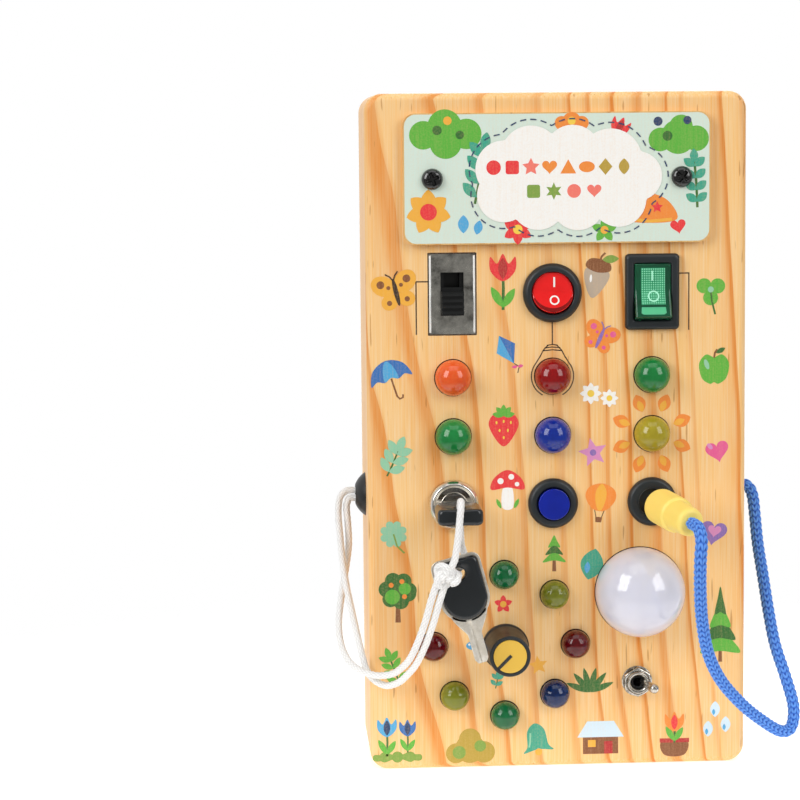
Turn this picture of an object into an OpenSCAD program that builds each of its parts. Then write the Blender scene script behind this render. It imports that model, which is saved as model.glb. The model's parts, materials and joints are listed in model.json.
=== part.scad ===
// Wooden busy board: a hollow pine block that stands upright, with switches, lamps, a key lock,
// a plug and a knob on its front. Millimetres. X runs to the right, Y to the back and Z up.
// The origin is the centre of the bottom face, and the front face looks along -Y.

/* [Board] */
// Width of the board
board_w = 106; // [104:1:120]
// Height of the board
board_h = 189; // [186:1:210]
// Depth of the board
board_d = 36; // [34:1:44]
// Radius of the outline's corners
corner_r = 5; // [4:0.5:8]
// Radius of the rounded front edge
edge_r = 2; // [1:0.5:3]
// Thickness of the wooden front wall
front_wall = 6; // [5:0.5:7]
// Thickness of the wooden side walls
side_wall = 8; // [7.5:0.5:9]
// Thickness of the back panel
panel_t = 3; // [3:0.5:4]
// Width of the ledge that the back panel rests on
ledge_w = 5; // [4.5:0.5:6]
// Gap all round the back panel
panel_gap = 0.2; // [0.1:0.1:0.5]
// Radius of a back panel screw's shank
panel_screw_r = 1.3; // [1:0.1:1.6]
// Radius of a back panel screw's head
panel_screw_head_r = 2.6; // [2:0.1:3]
// Length of a back panel screw
panel_screw_l = 12; // [8:1:14]

/* [Places on the front] */
// Height of the name plate's centre
plate_z = 165.5; // [165:0.5:167]
// Height of the row of switches
switch_row_z = 133.8; // [133:0.1:135]
// Height of the upper row of lamps
lamp_row_1_z = 110.6; // [109:0.1:112]
// Height of the lower row of lamps
lamp_row_2_z = 94.1; // [93.5:0.1:95]
// Height of the row with the lock, the button and the socket
lock_row_z = 75; // [74:0.1:76]
// Place of the middle column, to the right of the board's centre
middle_x = -1.3; // [-2:0.1:1]
// Distance between the columns
column_pitch = 27.8; // [26:0.1:28]
// Place of the lamp ring, to the right of the board's centre
ring_x = -15.1; // [-16:0.1:-14.6]
// Height of the lamp ring's centre
ring_z = 35; // [34:0.1:36]
// Place of the white dome, to the right of the board's centre
dome_x = 23.1; // [23:0.1:25]
// Height of the white dome
dome_z = 49.5; // [49:0.1:51]
// Place of the toggle switch, to the right of the board's centre
toggle_x = 22.3; // [21:0.1:24]
// Height of the toggle switch
toggle_z = 24; // [22:0.1:25]

/* [Name plate] */
// Width of the name plate
plate_w = 85; // [80:1:90]
// Height of the name plate
plate_h = 36; // [32:1:36]
// Thickness of the name plate
plate_t = 2; // [1.5:0.1:3]
// Radius of the name plate's corners
plate_r = 3.5; // [2:0.5:5]
// Distance from the plate's centre to each of its screws
plate_screw_x = 34.5; // [33:0.5:36]
// Radius of the head of a plate screw
plate_screw_head_r = 2.95; // [2.5:0.05:3.5]
// Height of the head of a plate screw
plate_screw_head_h = 1.9; // [1.5:0.1:2.5]
// Radius of a plate screw's shank
plate_screw_r = 1.4; // [1:0.1:1.6]
// How deep a plate screw goes into the wood
plate_screw_depth = 4.6; // [3:0.2:4.8]

/* [Slide switch] */
// Width of the slide switch's metal frame
slide_w = 12.8; // [12:0.2:14]
// Height of the slide switch's metal frame
slide_h = 22.2; // [22:0.2:24]
// Thickness of the frame's sheet metal
slide_sheet = 0.5; // [0.4:0.1:0.8]
// Depth of the frame's bent sides
slide_depth = 6; // [5.5:0.1:6.5]
// Width of the slot in the frame
slot_w = 6.4; // [6:0.2:7]
// Height of the slot in the frame
slot_h = 12; // [11.8:0.2:13]
// Length of the sliding button along the slot
slider_h = 6.6; // [6:0.2:6.8]
// Travel of the sliding button
slide_travel = 5; // [4:0.5:5]
// How far the sliding button stands out of the frame
slider_proud = 3.5; // [2.5:0.5:4.5]

/* [Round rocker switch] */
// Radius of the round rocker's rim
round_rim_r = 8.2; // [8:0.1:9]
// Height of the round rocker's rim
round_rim_h = 2.2; // [1.8:0.1:2.6]
// Radius of the round rocker's body
round_body_r = 7.3; // [7:0.1:7.5]
// Radius of the round rocker's button
round_button_r = 5.75; // [5.5:0.05:5.8]
// Depth of a rocker switch's body
rocker_depth = 12; // [10:0.5:15]
// Rock of a rocker button to each side of its middle, in degrees
rock_angle = 10; // [8:1:12]

/* [Square rocker switch] */
// Width of the square rocker's rim
square_rim_w = 15.1; // [15:0.1:16]
// Height of the square rocker's rim
square_rim_h = 21.1; // [21:0.1:22]
// How far the square rocker's rim stands out
square_rim_t = 1.9; // [1.5:0.1:2.5]
// Width of the square rocker's body
square_body_w = 13; // [12.6:0.1:13.4]
// Height of the square rocker's body
square_body_h = 18.9; // [18.4:0.1:19.2]
// Width of the square rocker's button
square_button_w = 10.2; // [9.8:0.1:10.4]
// Radius on which the ends of the square rocker's button turn
square_button_r = 7.85; // [7.6:0.05:8]

/* [Lamps] */
// Radius of a large lamp
lamp_r = 5; // [4:0.1:5.2]
// How far a large lamp stands out
lamp_proud = 6; // [5.5:0.1:7]
// Radius of a small lamp in the ring
small_lamp_r = 4; // [3:0.1:4.2]
// How far a small lamp stands out
small_lamp_proud = 5; // [4.5:0.1:6]
// Radius of the circle on which the small lamps sit
ring_r = 20; // [19:0.1:21]
// How many small lamps the ring has
ring_count = 8; // [8:4:8]
// Thickness of a lamp's flange behind the wood
lamp_flange_t = 1.4; // [1:0.1:2]
// How far a lamp's flange reaches past its body
lamp_flange_rim = 0.7; // [0.5:0.1:1]
// Radius of a lamp's lead
lead_r = 0.3; // [0.25:0.05:0.4]
// Distance between a lamp's two leads
lead_pitch = 2.54; // [2.5:0.01:3]
// Gap round a lamp in its hole
lamp_gap = 0.1; // [0.05:0.05:0.2]
// Distance from the front wall to a circuit board
circuit_gap = 6; // [5:0.5:7]
// Thickness of a circuit board
circuit_t = 1.6; // [1:0.2:2]

/* [Push button, socket and lock] */
// Radius of the threaded bodies of the button, the socket and the lock
thread_r = 5.9; // [5.7:0.1:6]
// Radius of the button's rim
button_rim_r = 7; // [6.8:0.1:8]
// Height of the button's and the socket's rims
button_rim_h = 2; // [1.6:0.1:2.4]
// Radius of the button's cap
button_cap_r = 4.4; // [4.2:0.1:4.6]
// How far the button's cap stands out of its rim
button_proud = 1.4; // [1:0.1:2.4]
// Travel of the button
button_travel = 2.5; // [2:0.1:2.6]
// Depth of the button's body
button_depth = 14; // [13:0.5:16]
// Radius of the socket's rim
socket_rim_r = 6.85; // [6.8:0.05:8]
// Radius of the socket's hole
socket_hole_r = 3.8; // [3.7:0.1:4.2]
// Depth of the socket's hole, below the wood's face
socket_hole_depth = 9; // [8.6:0.1:10]
// Radius of the lock's head
lock_head_r = 7; // [6.8:0.1:8]
// Height of the lock's head
lock_head_h = 2.6; // [2.4:0.1:3]
// Radius of the lock's turning cylinder
lock_cylinder_r = 3.4; // [3.2:0.1:3.6]
// Depth of the lock's body
lock_depth = 18; // [16:0.5:19]
// Distance across the flats of the panel nuts
nut_flats = 14; // [13.5:0.5:15]
// Thickness of the panel nuts
nut_t = 2.5; // [2:0.1:3]

/* [Keys] */
// Length of a key's handle
bow_l = 17; // [16:0.5:18]
// Width of a key's plastic handle
bow_w = 12.4; // [12:0.2:13]
// Thickness of a key's handle
bow_t = 4.5; // [4:0.1:4.7]
// How far the metal shows round the plastic
bow_rim = 0.7; // [0.4:0.1:1]
// Width of a key's metal where it leaves the handle
shoulder_w = 10.7; // [9:0.1:11]
// Length of the taper from the handle to the blade
shoulder_l = 3.8; // [3:0.1:4.4]
// Length of a key's blade below its handle
blade_l = 12.5; // [12:0.5:14]
// Width of a key's blade
blade_w = 3.8; // [3.4:0.1:4]
// Thickness of a key's metal
blade_t = 1; // [0.8:0.1:1.2]
// Radius of the hole for the cord
key_hole_r = 1.9; // [1.7:0.1:2]
// Distance from the end of the handle to the hole's centre
key_hole_in = 4; // [3.5:0.1:4.5]
// How far the end of the key in the lock stands out of the wood
key_out = 25; // [24:0.5:25]
// Tilt of the hanging spare key, in degrees
spare_tilt = 15; // [10:1:18]

/* [Plug] */
// Radius of the plug's pin
pin_r = 1.75; // [1.5:0.05:1.8]
// How deep the pin goes into the socket
pin_depth = 8; // [6:0.5:8.4]
// Radius of the plug's handle
plug_r = 5; // [4.5:0.1:5.3]
// Radius of the handle's rear end
plug_end_r = 3.9; // [3:0.1:4.3]
// Distance from the wood's face to the front of the handle
plug_start = 5.5; // [5.5:0.1:8]
// Distance from the wood's face to the rear end of the handle
plug_end = 27; // [26:0.5:27]
// Lean of the plug to the right, in degrees
plug_lean = 14.5; // [10:0.5:14.5]
// Droop of the plug, in degrees
plug_droop = 5; // [2:0.5:5]

/* [Dome lamp] */
// Radius of the white dome
dome_r = 12.65; // [12:0.05:13]
// Wall of the white dome
dome_wall = 1.2; // [1:0.1:1.6]
// Radius of the dome's neck, which passes through the wood
dome_neck_r = 9.9; // [9:0.1:10]

/* [Knob] */
// Radius of the knob at its base
knob_base_r = 6.6; // [6.2:0.1:7.5]
// Radius of the knob at its top
knob_top_r = 5.65; // [5.3:0.05:6]
// Height of the knob
knob_h = 14; // [13:0.5:16]
// Gap between the wood and the knob
knob_gap = 2.4; // [2.3:0.1:3]
// Radius of the knob's coloured cap
cap_r = 4.7; // [4.2:0.1:4.9]
// Radius of the knob's shaft
shaft_r = 3; // [2.8:0.1:3]
// Radius of the dial's control body behind the wood
pot_r = 8.2; // [7.5:0.1:8.4]
// Depth of the dial's control body
pot_depth = 8; // [7:0.5:9]

/* [Toggle switch] */
// Radius of the toggle's threaded neck
toggle_neck_r = 3; // [2.9:0.1:3.2]
// Height of the toggle's neck above the wood
toggle_neck_h = 3.4; // [3:0.1:3.5]
// Distance across the flats of the toggle's nut
toggle_flats = 8; // [8:0.5:10]
// Length of the toggle's lever from its pivot
lever_l = 13.3; // [12:0.1:15]
// Radius of the lever's end
lever_r = 1.35; // [1.2:0.05:1.4]
// Lean of the lever to each side, in degrees
lever_lean = 14; // [10:1:14]

/* [Batteries] */
// Height of the battery tray, inside
tray_h = 33.2; // [33:0.2:34]
// Depth of the battery tray, inside
tray_d = 12; // [11.6:0.2:13]
// Wall of the battery tray
tray_wall = 1.2; // [1:0.1:1.5]
// Radius of a battery
battery_r = 5.2; // [5:0.05:5.25]
// Length of a battery without its nub
battery_l = 43.5; // [43:0.1:43.8]
// Length of a battery's spring as fitted
spring_l = 4.7; // [4:0.1:6]
// How far the battery door laps over the opening
door_lap = 3.9; // [3.6:0.1:4.4]
// Thickness of the battery door
door_t = 1.5; // [1.2:0.1:1.8]

/* [Cords] */
// Radius of the white cord
white_r = 1; // [0.8:0.05:1]
// Radius of the blue cord
blue_r = 1.75; // [1.5:0.05:1.8]
// Radius of the knot in the white cord
knot_r = 3.5; // [3:0.1:3.5]
// Height of the black grommet's dome
grommet_h = 3.4; // [3:0.1:4]
// Radius of the black grommet
grommet_r = 6.2; // [5.8:0.1:7]
// Radius of the hole through the grommet
grommet_hole_r = 2.3; // [2.3:0.1:2.6]

/* [Hidden] */
$fn = 48;
// A small clearance for sliding and turning fits
fit = 0.05;
// A clearance for pieces that are only put in
slack = 0.2;
// How far a cut reaches past a face
cut = 1;
front_y = -board_d / 2;
back_y = board_d / 2;
wall_y = front_y + front_wall;
panel_y = back_y - panel_t;
left_x = middle_x - column_pitch;
right_x = middle_x + column_pitch;
cavity_w = board_w - 2 * side_wall;
cavity_h = board_h - 2 * side_wall;
rebate = side_wall - ledge_w;
circuit_y = wall_y + circuit_gap;
circuit_margin = 8;
// Places of the back panel's screws, at the middle of the ledge
panel_screw_x = board_w / 2 - rebate - ledge_w / 2;
panel_screw_zs = [rebate + ledge_w / 2, board_h / 2, board_h - rebate - ledge_w / 2];
tray_y = panel_y - tray_d - tray_wall;
nub_l = 1;
nub_r = 1.9;
contact_t = 0.4;
contact_w = 7;
contact_h = 8;
spring_r = 3;
tray_w = battery_l + nub_l + 2 * contact_t + spring_l;
// Gap between the block's top wall and the battery tray
tray_gap = 2;
battery_z = board_h - side_wall - tray_wall - tray_h / 2 - tray_gap;
door_w = tray_w + 2 * door_lap;
door_h = tray_h + 2 * door_lap;
door_screw_x = tray_w / 2 + door_lap / 2;
door_screw_r = 0.9;
door_screw_head_r = 1.7;
tray_flange = 5.5;
battery_pitch = tray_h / 3;
hinge_out = 0.5;
rocker_pin_r = 0.8;
lever_ball_r = 1.65;
lever_pivot = -2;
grommet_neck_r = 4.45;
blue_hole_r = blue_r + 0.3;
washer_t = 0.5;
toggle_case_w = 13.2;
toggle_case_h = 8;
toggle_case_d = 9.4;
toggle_pin_l = 4;
toggle_pin_pitch = 4.7;
toggle_bore_r = toggle_neck_r - 0.42;
toggle_nut_t = 2;
toggle_thread_gap = 0.05;
cord_row_z = 76;
dial_neck_r = shaft_r + 0.5;
slide_clear = 0.15;
slide_base_w = slide_w - 2 * slide_sheet - 2 * fit;
slide_foot_h = slider_h + 2;
slide_foot_t = 1.2;
slide_base_d = 5;
slide_pin_l = 4;
slide_pin_pitch = 4;
round_terminal_pitch = 4;
square_terminal_pitch = 6;
terminal_l = 7;
dial_nut_flats = 10;
button_lip = 2.9;
button_flange_t = 2.5;
button_floor = -10;
keyway_gap = 0.15;
// Height on a key at which its rounded handle is a little wider than its shoulder
shoulder_z = bow_w / 2 - bow_l - sqrt(pow(bow_w / 2 + bow_rim - slack, 2) - shoulder_w * shoulder_w / 4);
plug_step = 17.6;
plug_ledge = 0.6;
dome_skirt = 1;
dial_nut_t = 2;
dial_neck_h = 2.2;
shaft_top = knob_gap + knob_h - 4;
cap_t = 1;
battery_top = tray_w / 2 - contact_t - nub_l;
// Radius of the grommet's dome, from its height and its rim
grommet_curve = (grommet_r * grommet_r + grommet_h * grommet_h) / (2 * grommet_h);

// The white cord is one string folded in two. Each half leaves the grommet, hangs in a bight and
// rises to the knot. Points run from inside the board to the knot.
white_a = [
    [-47, 0, 77.1], [-56.6, 0, 77.1], [-58.6, 0, 76.8], [-60.3, -0.3, 74.8], [-60.8, -1.2, 70.5],
    [-60.4, -3.8, 64], [-59.9, -6.5, 57.5], [-59, -9, 51], [-57.7, -11.8, 44.5],
    [-56.3, -14.8, 38], [-54.9, -17.6, 32], [-53.9, -19.1, 28.8], [-51.8, -20.8, 26.3], [-48.6, -23.4, 25.3],
    [-45.4, -26.7, 26.9], [-43.2, -29.8, 29.6], [-41, -33.4, 33.2], [-38.8, -37.6, 39],
    [-36.7, -41, 46], [-35, -43, 52.6], [-33.2, -44, 58.3]
];
white_a_split = 13;
white_b = [
    [-47, 0, 74.9], [-56.6, 0, 74.9], [-57.8, 0, 74.4], [-58.4, -0.2, 72.2], [-58.1, -1, 67.5],
    [-58, -2.4, 61.5], [-59, -4, 55], [-60.3, -6.4, 48], [-61.3, -9.4, 41],
    [-60.9, -12.2, 35.4], [-59, -16, 31.2], [-56.2, -20.3, 29.4], [-53.2, -22.7, 28.5], [-50.2, -24.6, 28.4],
    [-47, -26.9, 29.4], [-44.9, -29.6, 31.4], [-42.8, -33.4, 34.6], [-40.9, -37.6, 39.7],
    [-38.8, -41, 46.6], [-37.2, -43, 53.1], [-35.3, -44, 58.9]
];
white_b_split = 13;
// The loop beyond the knot: up over the end of the key in the lock, down through its hole, behind
// the spare key and forward through that key's hole into the knot
white_loop = [
    [-32.3, -44.5, 61.2], [-31.1, -44.5, 63.6], [-30.5, -44.6, 66.5],
    [-29.9, -44.7, 71], [-29.5, -44.7, 75.2], [-29.2, -44.2, 77.9], [-29, -42.6, 79.2],
    [-29, -40.5, 79], [-29, -39.1, 77.4], [-29, -39, 72.6], [-28.4, -34.4, 66.9],
    [-27.9, -33.5, 65], [-27.5, -33.1, 63], [-28.2, -33.1, 60.6], [-29.4, -34.1, 59.2],
    [-29.6, -35.6, 59.1], [-29.6, -40.6, 59.1], [-30.2, -42.3, 59], [-31.6, -43.1, 58.8]
];
white_loop_splits = [2, 10];
knot_at = [-33.4, -44.2, 59.4];
spare_hole_at = [-29.6, -38, 59.1];
// The blue cord, from inside the board round its bight to the rear end of the plug
blue = [
    [46, 0, 77], [54.5, 0, 77], [57.2, 0, 76.2], [58.5, -0.4, 73.5], [59, -1.4, 68],
    [59.6, -2.8, 60], [60.7, -5.4, 50.5], [61.8, -8, 41], [63.2, -10.4, 32],
    [65.5, -13.6, 23.5], [67.2, -17, 15.5], [66, -20, 10.3], [62.5, -22.4, 9.6],
    [56, -26.4, 14], [49.5, -31, 19.8], [43, -35.8, 27.4], [38.6, -40.4, 35.8],
    [36, -45.4, 45.5], [34.6, -50, 55.5], [34.2, -52.6, 64], [34.6, -51.9, 69.2],
    [34.3, -48.2, 72], [33.1, -43.5, 72.7]
];
blue_split = 12;

// ---- shared shapes ----

// Children drawn with X to the right, Y up and Z out of the front face
module on_front(x, z) translate([x, front_y, z]) rotate([90, 0, 0]) children();

// Outline with round corners, centred
module round_rect(w, h, r) {
    square([w - 2 * r, h], center = true);
    square([w, h - 2 * r], center = true);
    for (sx = [-1, 1], sy = [-1, 1]) translate([sx * (w / 2 - r), sy * (h / 2 - r)]) circle(r);
}

module quarter_disc(r) intersection() {
    circle(r);
    square(r);
}

// One rounded bar along a straight stretch of an edge, on the +X side
module edge_bar(w, l, d, r) translate([w / 2 - r, l / 2, d - r])
    rotate([90, 0, 0]) linear_extrude(l) quarter_disc(r);

// A slab from Z = 0 to d with round outline corners and a rounded edge at its top
module round_top_slab(w, h, d, corner, edge) {
    linear_extrude(d - edge) round_rect(w, h, corner);
    linear_extrude(d) round_rect(w - 2 * edge, h - 2 * edge, corner - edge);
    for (a = [0, 180]) rotate([0, 0, a]) edge_bar(w, h - 2 * corner, d, edge);
    for (a = [90, 270]) rotate([0, 0, a]) edge_bar(h, w - 2 * corner, d, edge);
    for (i = [0:3]) translate([(i == 0 || i == 3 ? 1 : -1) * (w / 2 - corner),
        (i < 2 ? 1 : -1) * (h / 2 - corner), d - edge])
        rotate([0, 0, 90 * i]) rotate_extrude(angle = 90) translate([corner - edge, 0]) quarter_disc(edge);
}

// A box that is centred in X and Y and runs from z1 to z2
module post(w, h, z1, z2) translate([-w / 2, -h / 2, z1]) cube([w, h, z2 - z1]);

// A round bar from z1 to z2
module bar(r, z1, z2) translate([0, 0, z1]) cylinder(r = r, h = z2 - z1);

// A ring from z1 to z2
module ring(r_out, r_in, z1, z2) difference() {
    bar(r_out, z1, z2);
    bar(r_in, z1 - cut, z2 + cut);
}

// A six-sided nut with a round hole
module hex_nut(flats, hole, z1, z2) difference() {
    translate([0, 0, z1]) cylinder(r = flats / sqrt(3), h = z2 - z1, $fn = 6);
    bar(hole, z1 - cut, z2 + cut);
}

// A rounded switch rim: a disc whose top edge is turned over, with a round hole
module round_rim(r, h, hole) difference() {
    union() {
        bar(r, 0, h / 2);
        translate([0, 0, h / 2]) cylinder(r1 = r, r2 = r - h / 2, h = h / 2);
    }
    bar(hole, -cut, h + cut);
}

// ---- cords ----

function unit(v) = v / norm(v);
function tangent(p, i) = unit(p[min(i + 1, len(p) - 1)] - p[max(i - 1, 0)]);
function carried(p, side, i, last) = let (t = tangent(p, i), s = unit(side - (side * t) * t))
    i >= last ? [s] : concat([s], carried(p, s, i + 1, last));

// A tube with eight sides along points first to last of a path. Each ring is square to the path.
module cord_tube(path, first, last, r) {
    sides = 8;
    start = tangent(path, first);
    side0 = abs(start[2]) < 0.9 ? [0, 0, 1] : [0, 1, 0];
    side = carried(path, side0, first, last);
    count = last - first + 1;
    rings = [for (i = [0:count - 1], k = [0:sides - 1])
        let (t = tangent(path, first + i), s = side[i], u = cross(t, s), a = 360 * k / sides)
        path[first + i] + r * (cos(a) * s + sin(a) * u)];
    walls = [for (i = [0:count - 2], k = [0:sides - 1])
        let (a = i * sides + k, b = i * sides + (k + 1) % sides)
        each [[a, a + sides, b], [b, a + sides, b + sides]]];
    ends = [[for (k = [0:sides - 1]) k], [for (k = [sides - 1:-1:0]) (count - 1) * sides + k]];
    polyhedron(rings, concat(walls, ends));
}

// ---- the board ----

module plate_places() for (s = [-1, 1]) on_front(s * plate_screw_x, plate_z) children();
module panel_screw_places() for (sx = [-1, 1], z = panel_screw_zs)
    translate([sx * panel_screw_x, back_y, z]) rotate([90, 0, 0]) children();

module front_block() color("burlywood") difference() {
    translate([0, back_y, board_h / 2]) rotate([90, 0, 0])
        round_top_slab(board_w, board_h, board_d, corner_r, edge_r);
    translate([-cavity_w / 2, wall_y, side_wall]) cube([cavity_w, board_d, cavity_h]);
    translate([-board_w / 2 + rebate, panel_y, rebate])
        cube([board_w - 2 * rebate, board_d, board_h - 2 * rebate]);
    panel_screw_places() bar(panel_screw_r + fit, -cut, panel_screw_l + cut);
    plate_places() bar(plate_screw_r + fit, -plate_screw_depth - slack, cut);
    on_front(left_x, switch_row_z) post(slide_w + 2 * slack, slide_h + 2 * slack, -front_wall - cut, cut);
    on_front(middle_x, switch_row_z) bar(round_body_r + fit, -front_wall - cut, cut);
    on_front(right_x, switch_row_z)
        post(square_body_w + 2 * fit, square_body_h + 2 * fit, -front_wall - cut, cut);
    for (z = [lamp_row_1_z, lamp_row_2_z], x = [left_x, middle_x, right_x])
        on_front(x, z) bar(lamp_r + lamp_gap, -front_wall - cut, cut);
    for (x = [left_x, middle_x, right_x])
        on_front(x, lock_row_z) bar(thread_r + fit, -front_wall - cut, cut);
    on_ring(0, 1) bar(small_lamp_r + lamp_gap, -front_wall - cut, cut);
    on_front(ring_x, ring_z) bar(dial_neck_r + fit, -front_wall - cut, cut);
    on_front(dome_x, dome_z) bar(dome_neck_r + fit, -front_wall - cut, cut);
    on_front(toggle_x, toggle_z) bar(toggle_neck_r + fit, -front_wall - cut, cut);
    translate([-board_w / 2, 0, cord_row_z]) rotate([0, 90, 0])
        bar(grommet_neck_r + fit, -cut, side_wall + cut);
    translate([board_w / 2, 0, blue[0][2]]) rotate([0, -90, 0]) bar(blue_hole_r, -cut, side_wall + cut);
}

module back_panel() color("burlywood") difference() {
    translate([-board_w / 2 + rebate + panel_gap, panel_y, rebate + panel_gap])
        cube([board_w - 2 * (rebate + panel_gap), panel_t, board_h - 2 * (rebate + panel_gap)]);
    panel_screw_places() panel_screw_shape(fit);
    translate([-tray_w / 2, panel_y - cut, battery_z - tray_h / 2])
        cube([tray_w, panel_t + 2 * cut, tray_h]);
    translate([-door_w / 2 - slack, back_y - door_t, battery_z - door_h / 2 - slack])
        cube([door_w + 2 * slack, panel_t, door_h + 2 * slack]);
    door_screw_places() bar(door_screw_r + fit, -cut, panel_t + cut);
}

// A countersunk screw whose head is flush with Z = 0 and whose shank runs to +Z
module panel_screw_shape(extra) {
    cylinder(r1 = panel_screw_head_r + extra, r2 = panel_screw_r + extra,
        h = panel_screw_head_r - panel_screw_r);
    bar(panel_screw_r + extra, 0, panel_screw_l);
}

module cross_recess(w, l, depth) {
    post(w, l, -depth, cut);
    post(l, w, -depth, cut);
}

module back_panel_screws() color("silver") panel_screw_places() difference() {
    panel_screw_shape(0);
    rotate([180, 0, 0]) cross_recess(0.6, 2.6, 0.9);
}

module name_plate() color("palegreen") difference() {
    on_front(0, plate_z) linear_extrude(plate_t) round_rect(plate_w, plate_h, plate_r);
    plate_places() bar(plate_screw_r + fit, -cut, plate_t + cut);
}

module name_plate_screws() color("black") plate_places() difference() {
    union() {
        bar(plate_screw_r, -plate_screw_depth, plate_t);
        translate([0, 0, plate_t]) cylinder(r1 = plate_screw_head_r, r2 = plate_screw_head_r * 0.8,
            h = plate_screw_head_h);
    }
    translate([0, 0, plate_t + plate_screw_head_h]) cross_recess(0.8, 3.2, 1.1);
}

// ---- slide switch ----

module slide_switch_frame() color("silver") on_front(left_x, switch_row_z) difference() {
    post(slide_w, slide_h, -slide_depth, 0);
    post(slide_base_w + 2 * fit, slide_h + 2 * cut, -slide_depth - cut, -slide_sheet);
    post(slot_w, slot_h, -slide_depth, cut);
}

module slide_switch_base() color("black") on_front(left_x, switch_row_z) {
    difference() {
        post(slide_base_w, slide_h, -slide_depth - slide_base_d, -slide_sheet);
        post(slot_w + 2 * slack, slide_h - 3, -slide_sheet - slide_foot_t - 2 * slide_clear, cut);
        post(slot_w - 2, slot_h, -slide_depth, cut);
    }
    difference() {
        post(slide_w + 5, slide_h + 5, -front_wall - 1.5, -front_wall);
        post(slide_w, slide_h, -front_wall - 2, -front_wall + cut);
    }
    for (s = [-1, 1]) translate([0, s * (slide_h / 2 - 0.5), 0])
        post(slide_base_w, 1, -front_wall - 1.5, -front_wall);
    post(slide_w + 5, slide_h + 5, -front_wall - 3, -front_wall - 1.5);
    for (i = [-1:1]) translate([0, i * slide_pin_pitch, 0])
        post(1.6, 0.6, -slide_depth - slide_base_d - slide_pin_l, -slide_depth - slide_base_d);
}

module slide_switch_slider() color("black") on_front(left_x, switch_row_z)
    translate([0, -slide_travel / 2, 0]) {
        post(slot_w - 2 * slide_clear, slider_h, -slide_sheet - slide_clear, slider_proud - 0.8);
        post(slot_w, slide_foot_h, -slide_sheet - slide_clear - slide_foot_t, -slide_sheet - slide_clear);
        post(slot_w - 3, 4, -slide_sheet - 3, -slide_sheet);
        for (i = [-1.5:1:1.5]) translate([0, i * slider_h / 4, 0])
            post(slot_w - 2 * slide_clear, slider_h / 8, 0, slider_proud);
    }

// ---- rocker switches ----

// Three flat terminals behind a switch
module terminals(pitch, z1, z2) for (i = [-1:1]) translate([0, i * pitch, 0]) post(4.8, 0.8, z1, z2);

// The V-shaped top of a rocker button, up to half length l, with its valley at height h
module rocker_profile(l, h, w) rotate([90, 0, 90]) translate([0, 0, -w / 2]) linear_extrude(w)
    polygon([[-l, -l], [l, -l], [l, h + l * tan(rock_angle)], [0, h], [-l, h + l * tan(rock_angle)]]);

module red_rocker_housing() color("black") on_front(middle_x, switch_row_z) difference() {
    union() {
        round_rim(round_rim_r, round_rim_h, round_button_r + slack);
        bar(round_body_r, -rocker_depth, 0);
        terminals(round_terminal_pitch, -rocker_depth - terminal_l, -rocker_depth);
    }
    bar(round_button_r + 0.1, -round_button_r, round_rim_h + cut);
    translate([0, 0, hinge_out]) rotate([0, 90, 0])
        bar(rocker_pin_r + fit, -round_body_r + 0.4, round_body_r - 0.4);
}

module red_rocker_paddle() color("red") on_front(middle_x, switch_row_z)
    translate([0, 0, hinge_out]) rotate([-rock_angle, 0, 0]) {
        intersection() {
            sphere(round_button_r);
            rocker_profile(round_button_r + 1, 1, 2 * round_button_r + 2);
        }
        rotate([0, 90, 0]) bar(rocker_pin_r, -round_body_r + 0.5, round_body_r - 0.5);
    }

module green_rocker_housing() color("black") on_front(right_x, switch_row_z) difference() {
    union() {
        round_top_slab(square_rim_w, square_rim_h, square_rim_t, 1.2, 0.6);
        post(square_body_w, square_body_h, -rocker_depth, 0);
        terminals(square_terminal_pitch, -rocker_depth - terminal_l, -rocker_depth);
    }
    post(square_button_w + 2 * fit, 2 * square_button_r + 2 * fit, -square_button_r, square_rim_t + cut);
    translate([0, 0, hinge_out]) rotate([0, 90, 0])
        bar(rocker_pin_r + fit, -square_body_w / 2 + 0.4, square_body_w / 2 - 0.4);
}

module green_rocker_paddle() color("green") on_front(right_x, switch_row_z)
    translate([0, 0, hinge_out]) rotate([-rock_angle, 0, 0]) {
        intersection() {
            rotate([0, 90, 0]) bar(square_button_r, -square_button_w / 2, square_button_w / 2);
            rocker_profile(square_button_r + 1, 1.6, square_button_w + 2);
        }
        rotate([0, 90, 0]) bar(rocker_pin_r, -square_body_w / 2 + 0.5, square_body_w / 2 - 0.5);
    }

// ---- lamps ----

// A lamp with a round top: its flange lies behind the wood and its leads go to the circuit board
module lamp(r, proud) {
    bar(r, -front_wall, proud - r);
    translate([0, 0, proud - r]) intersection() {
        sphere(r);
        bar(r + cut, 0, r + cut);
    }
    bar(r + lamp_flange_rim, -front_wall - lamp_flange_t, -front_wall);
    for (s = [-1, 1]) translate([s * lead_pitch / 2, 0, 0])
        bar(lead_r, -front_wall - circuit_gap - circuit_t - 1, -front_wall);
}

// Holes in a circuit board for one lamp's leads
module lead_holes() for (s = [-1, 1]) translate([s * lead_pitch / 2, 0, 0])
    bar(lead_r + 0.1, -front_wall - circuit_gap - circuit_t - cut, -front_wall - circuit_gap + cut);

module lamp_orange() color("orange") on_front(left_x, lamp_row_1_z) lamp(lamp_r, lamp_proud);
module lamp_red() color("darkred") on_front(middle_x, lamp_row_1_z) lamp(lamp_r, lamp_proud);
module lamp_green() color("green") on_front(right_x, lamp_row_1_z) lamp(lamp_r, lamp_proud);
module lamp_lower_green() color("green") on_front(left_x, lamp_row_2_z) lamp(lamp_r, lamp_proud);
module lamp_blue() color("blue") on_front(middle_x, lamp_row_2_z) lamp(lamp_r, lamp_proud);
module lamp_yellow() color("olive") on_front(right_x, lamp_row_2_z) lamp(lamp_r, lamp_proud);

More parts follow.
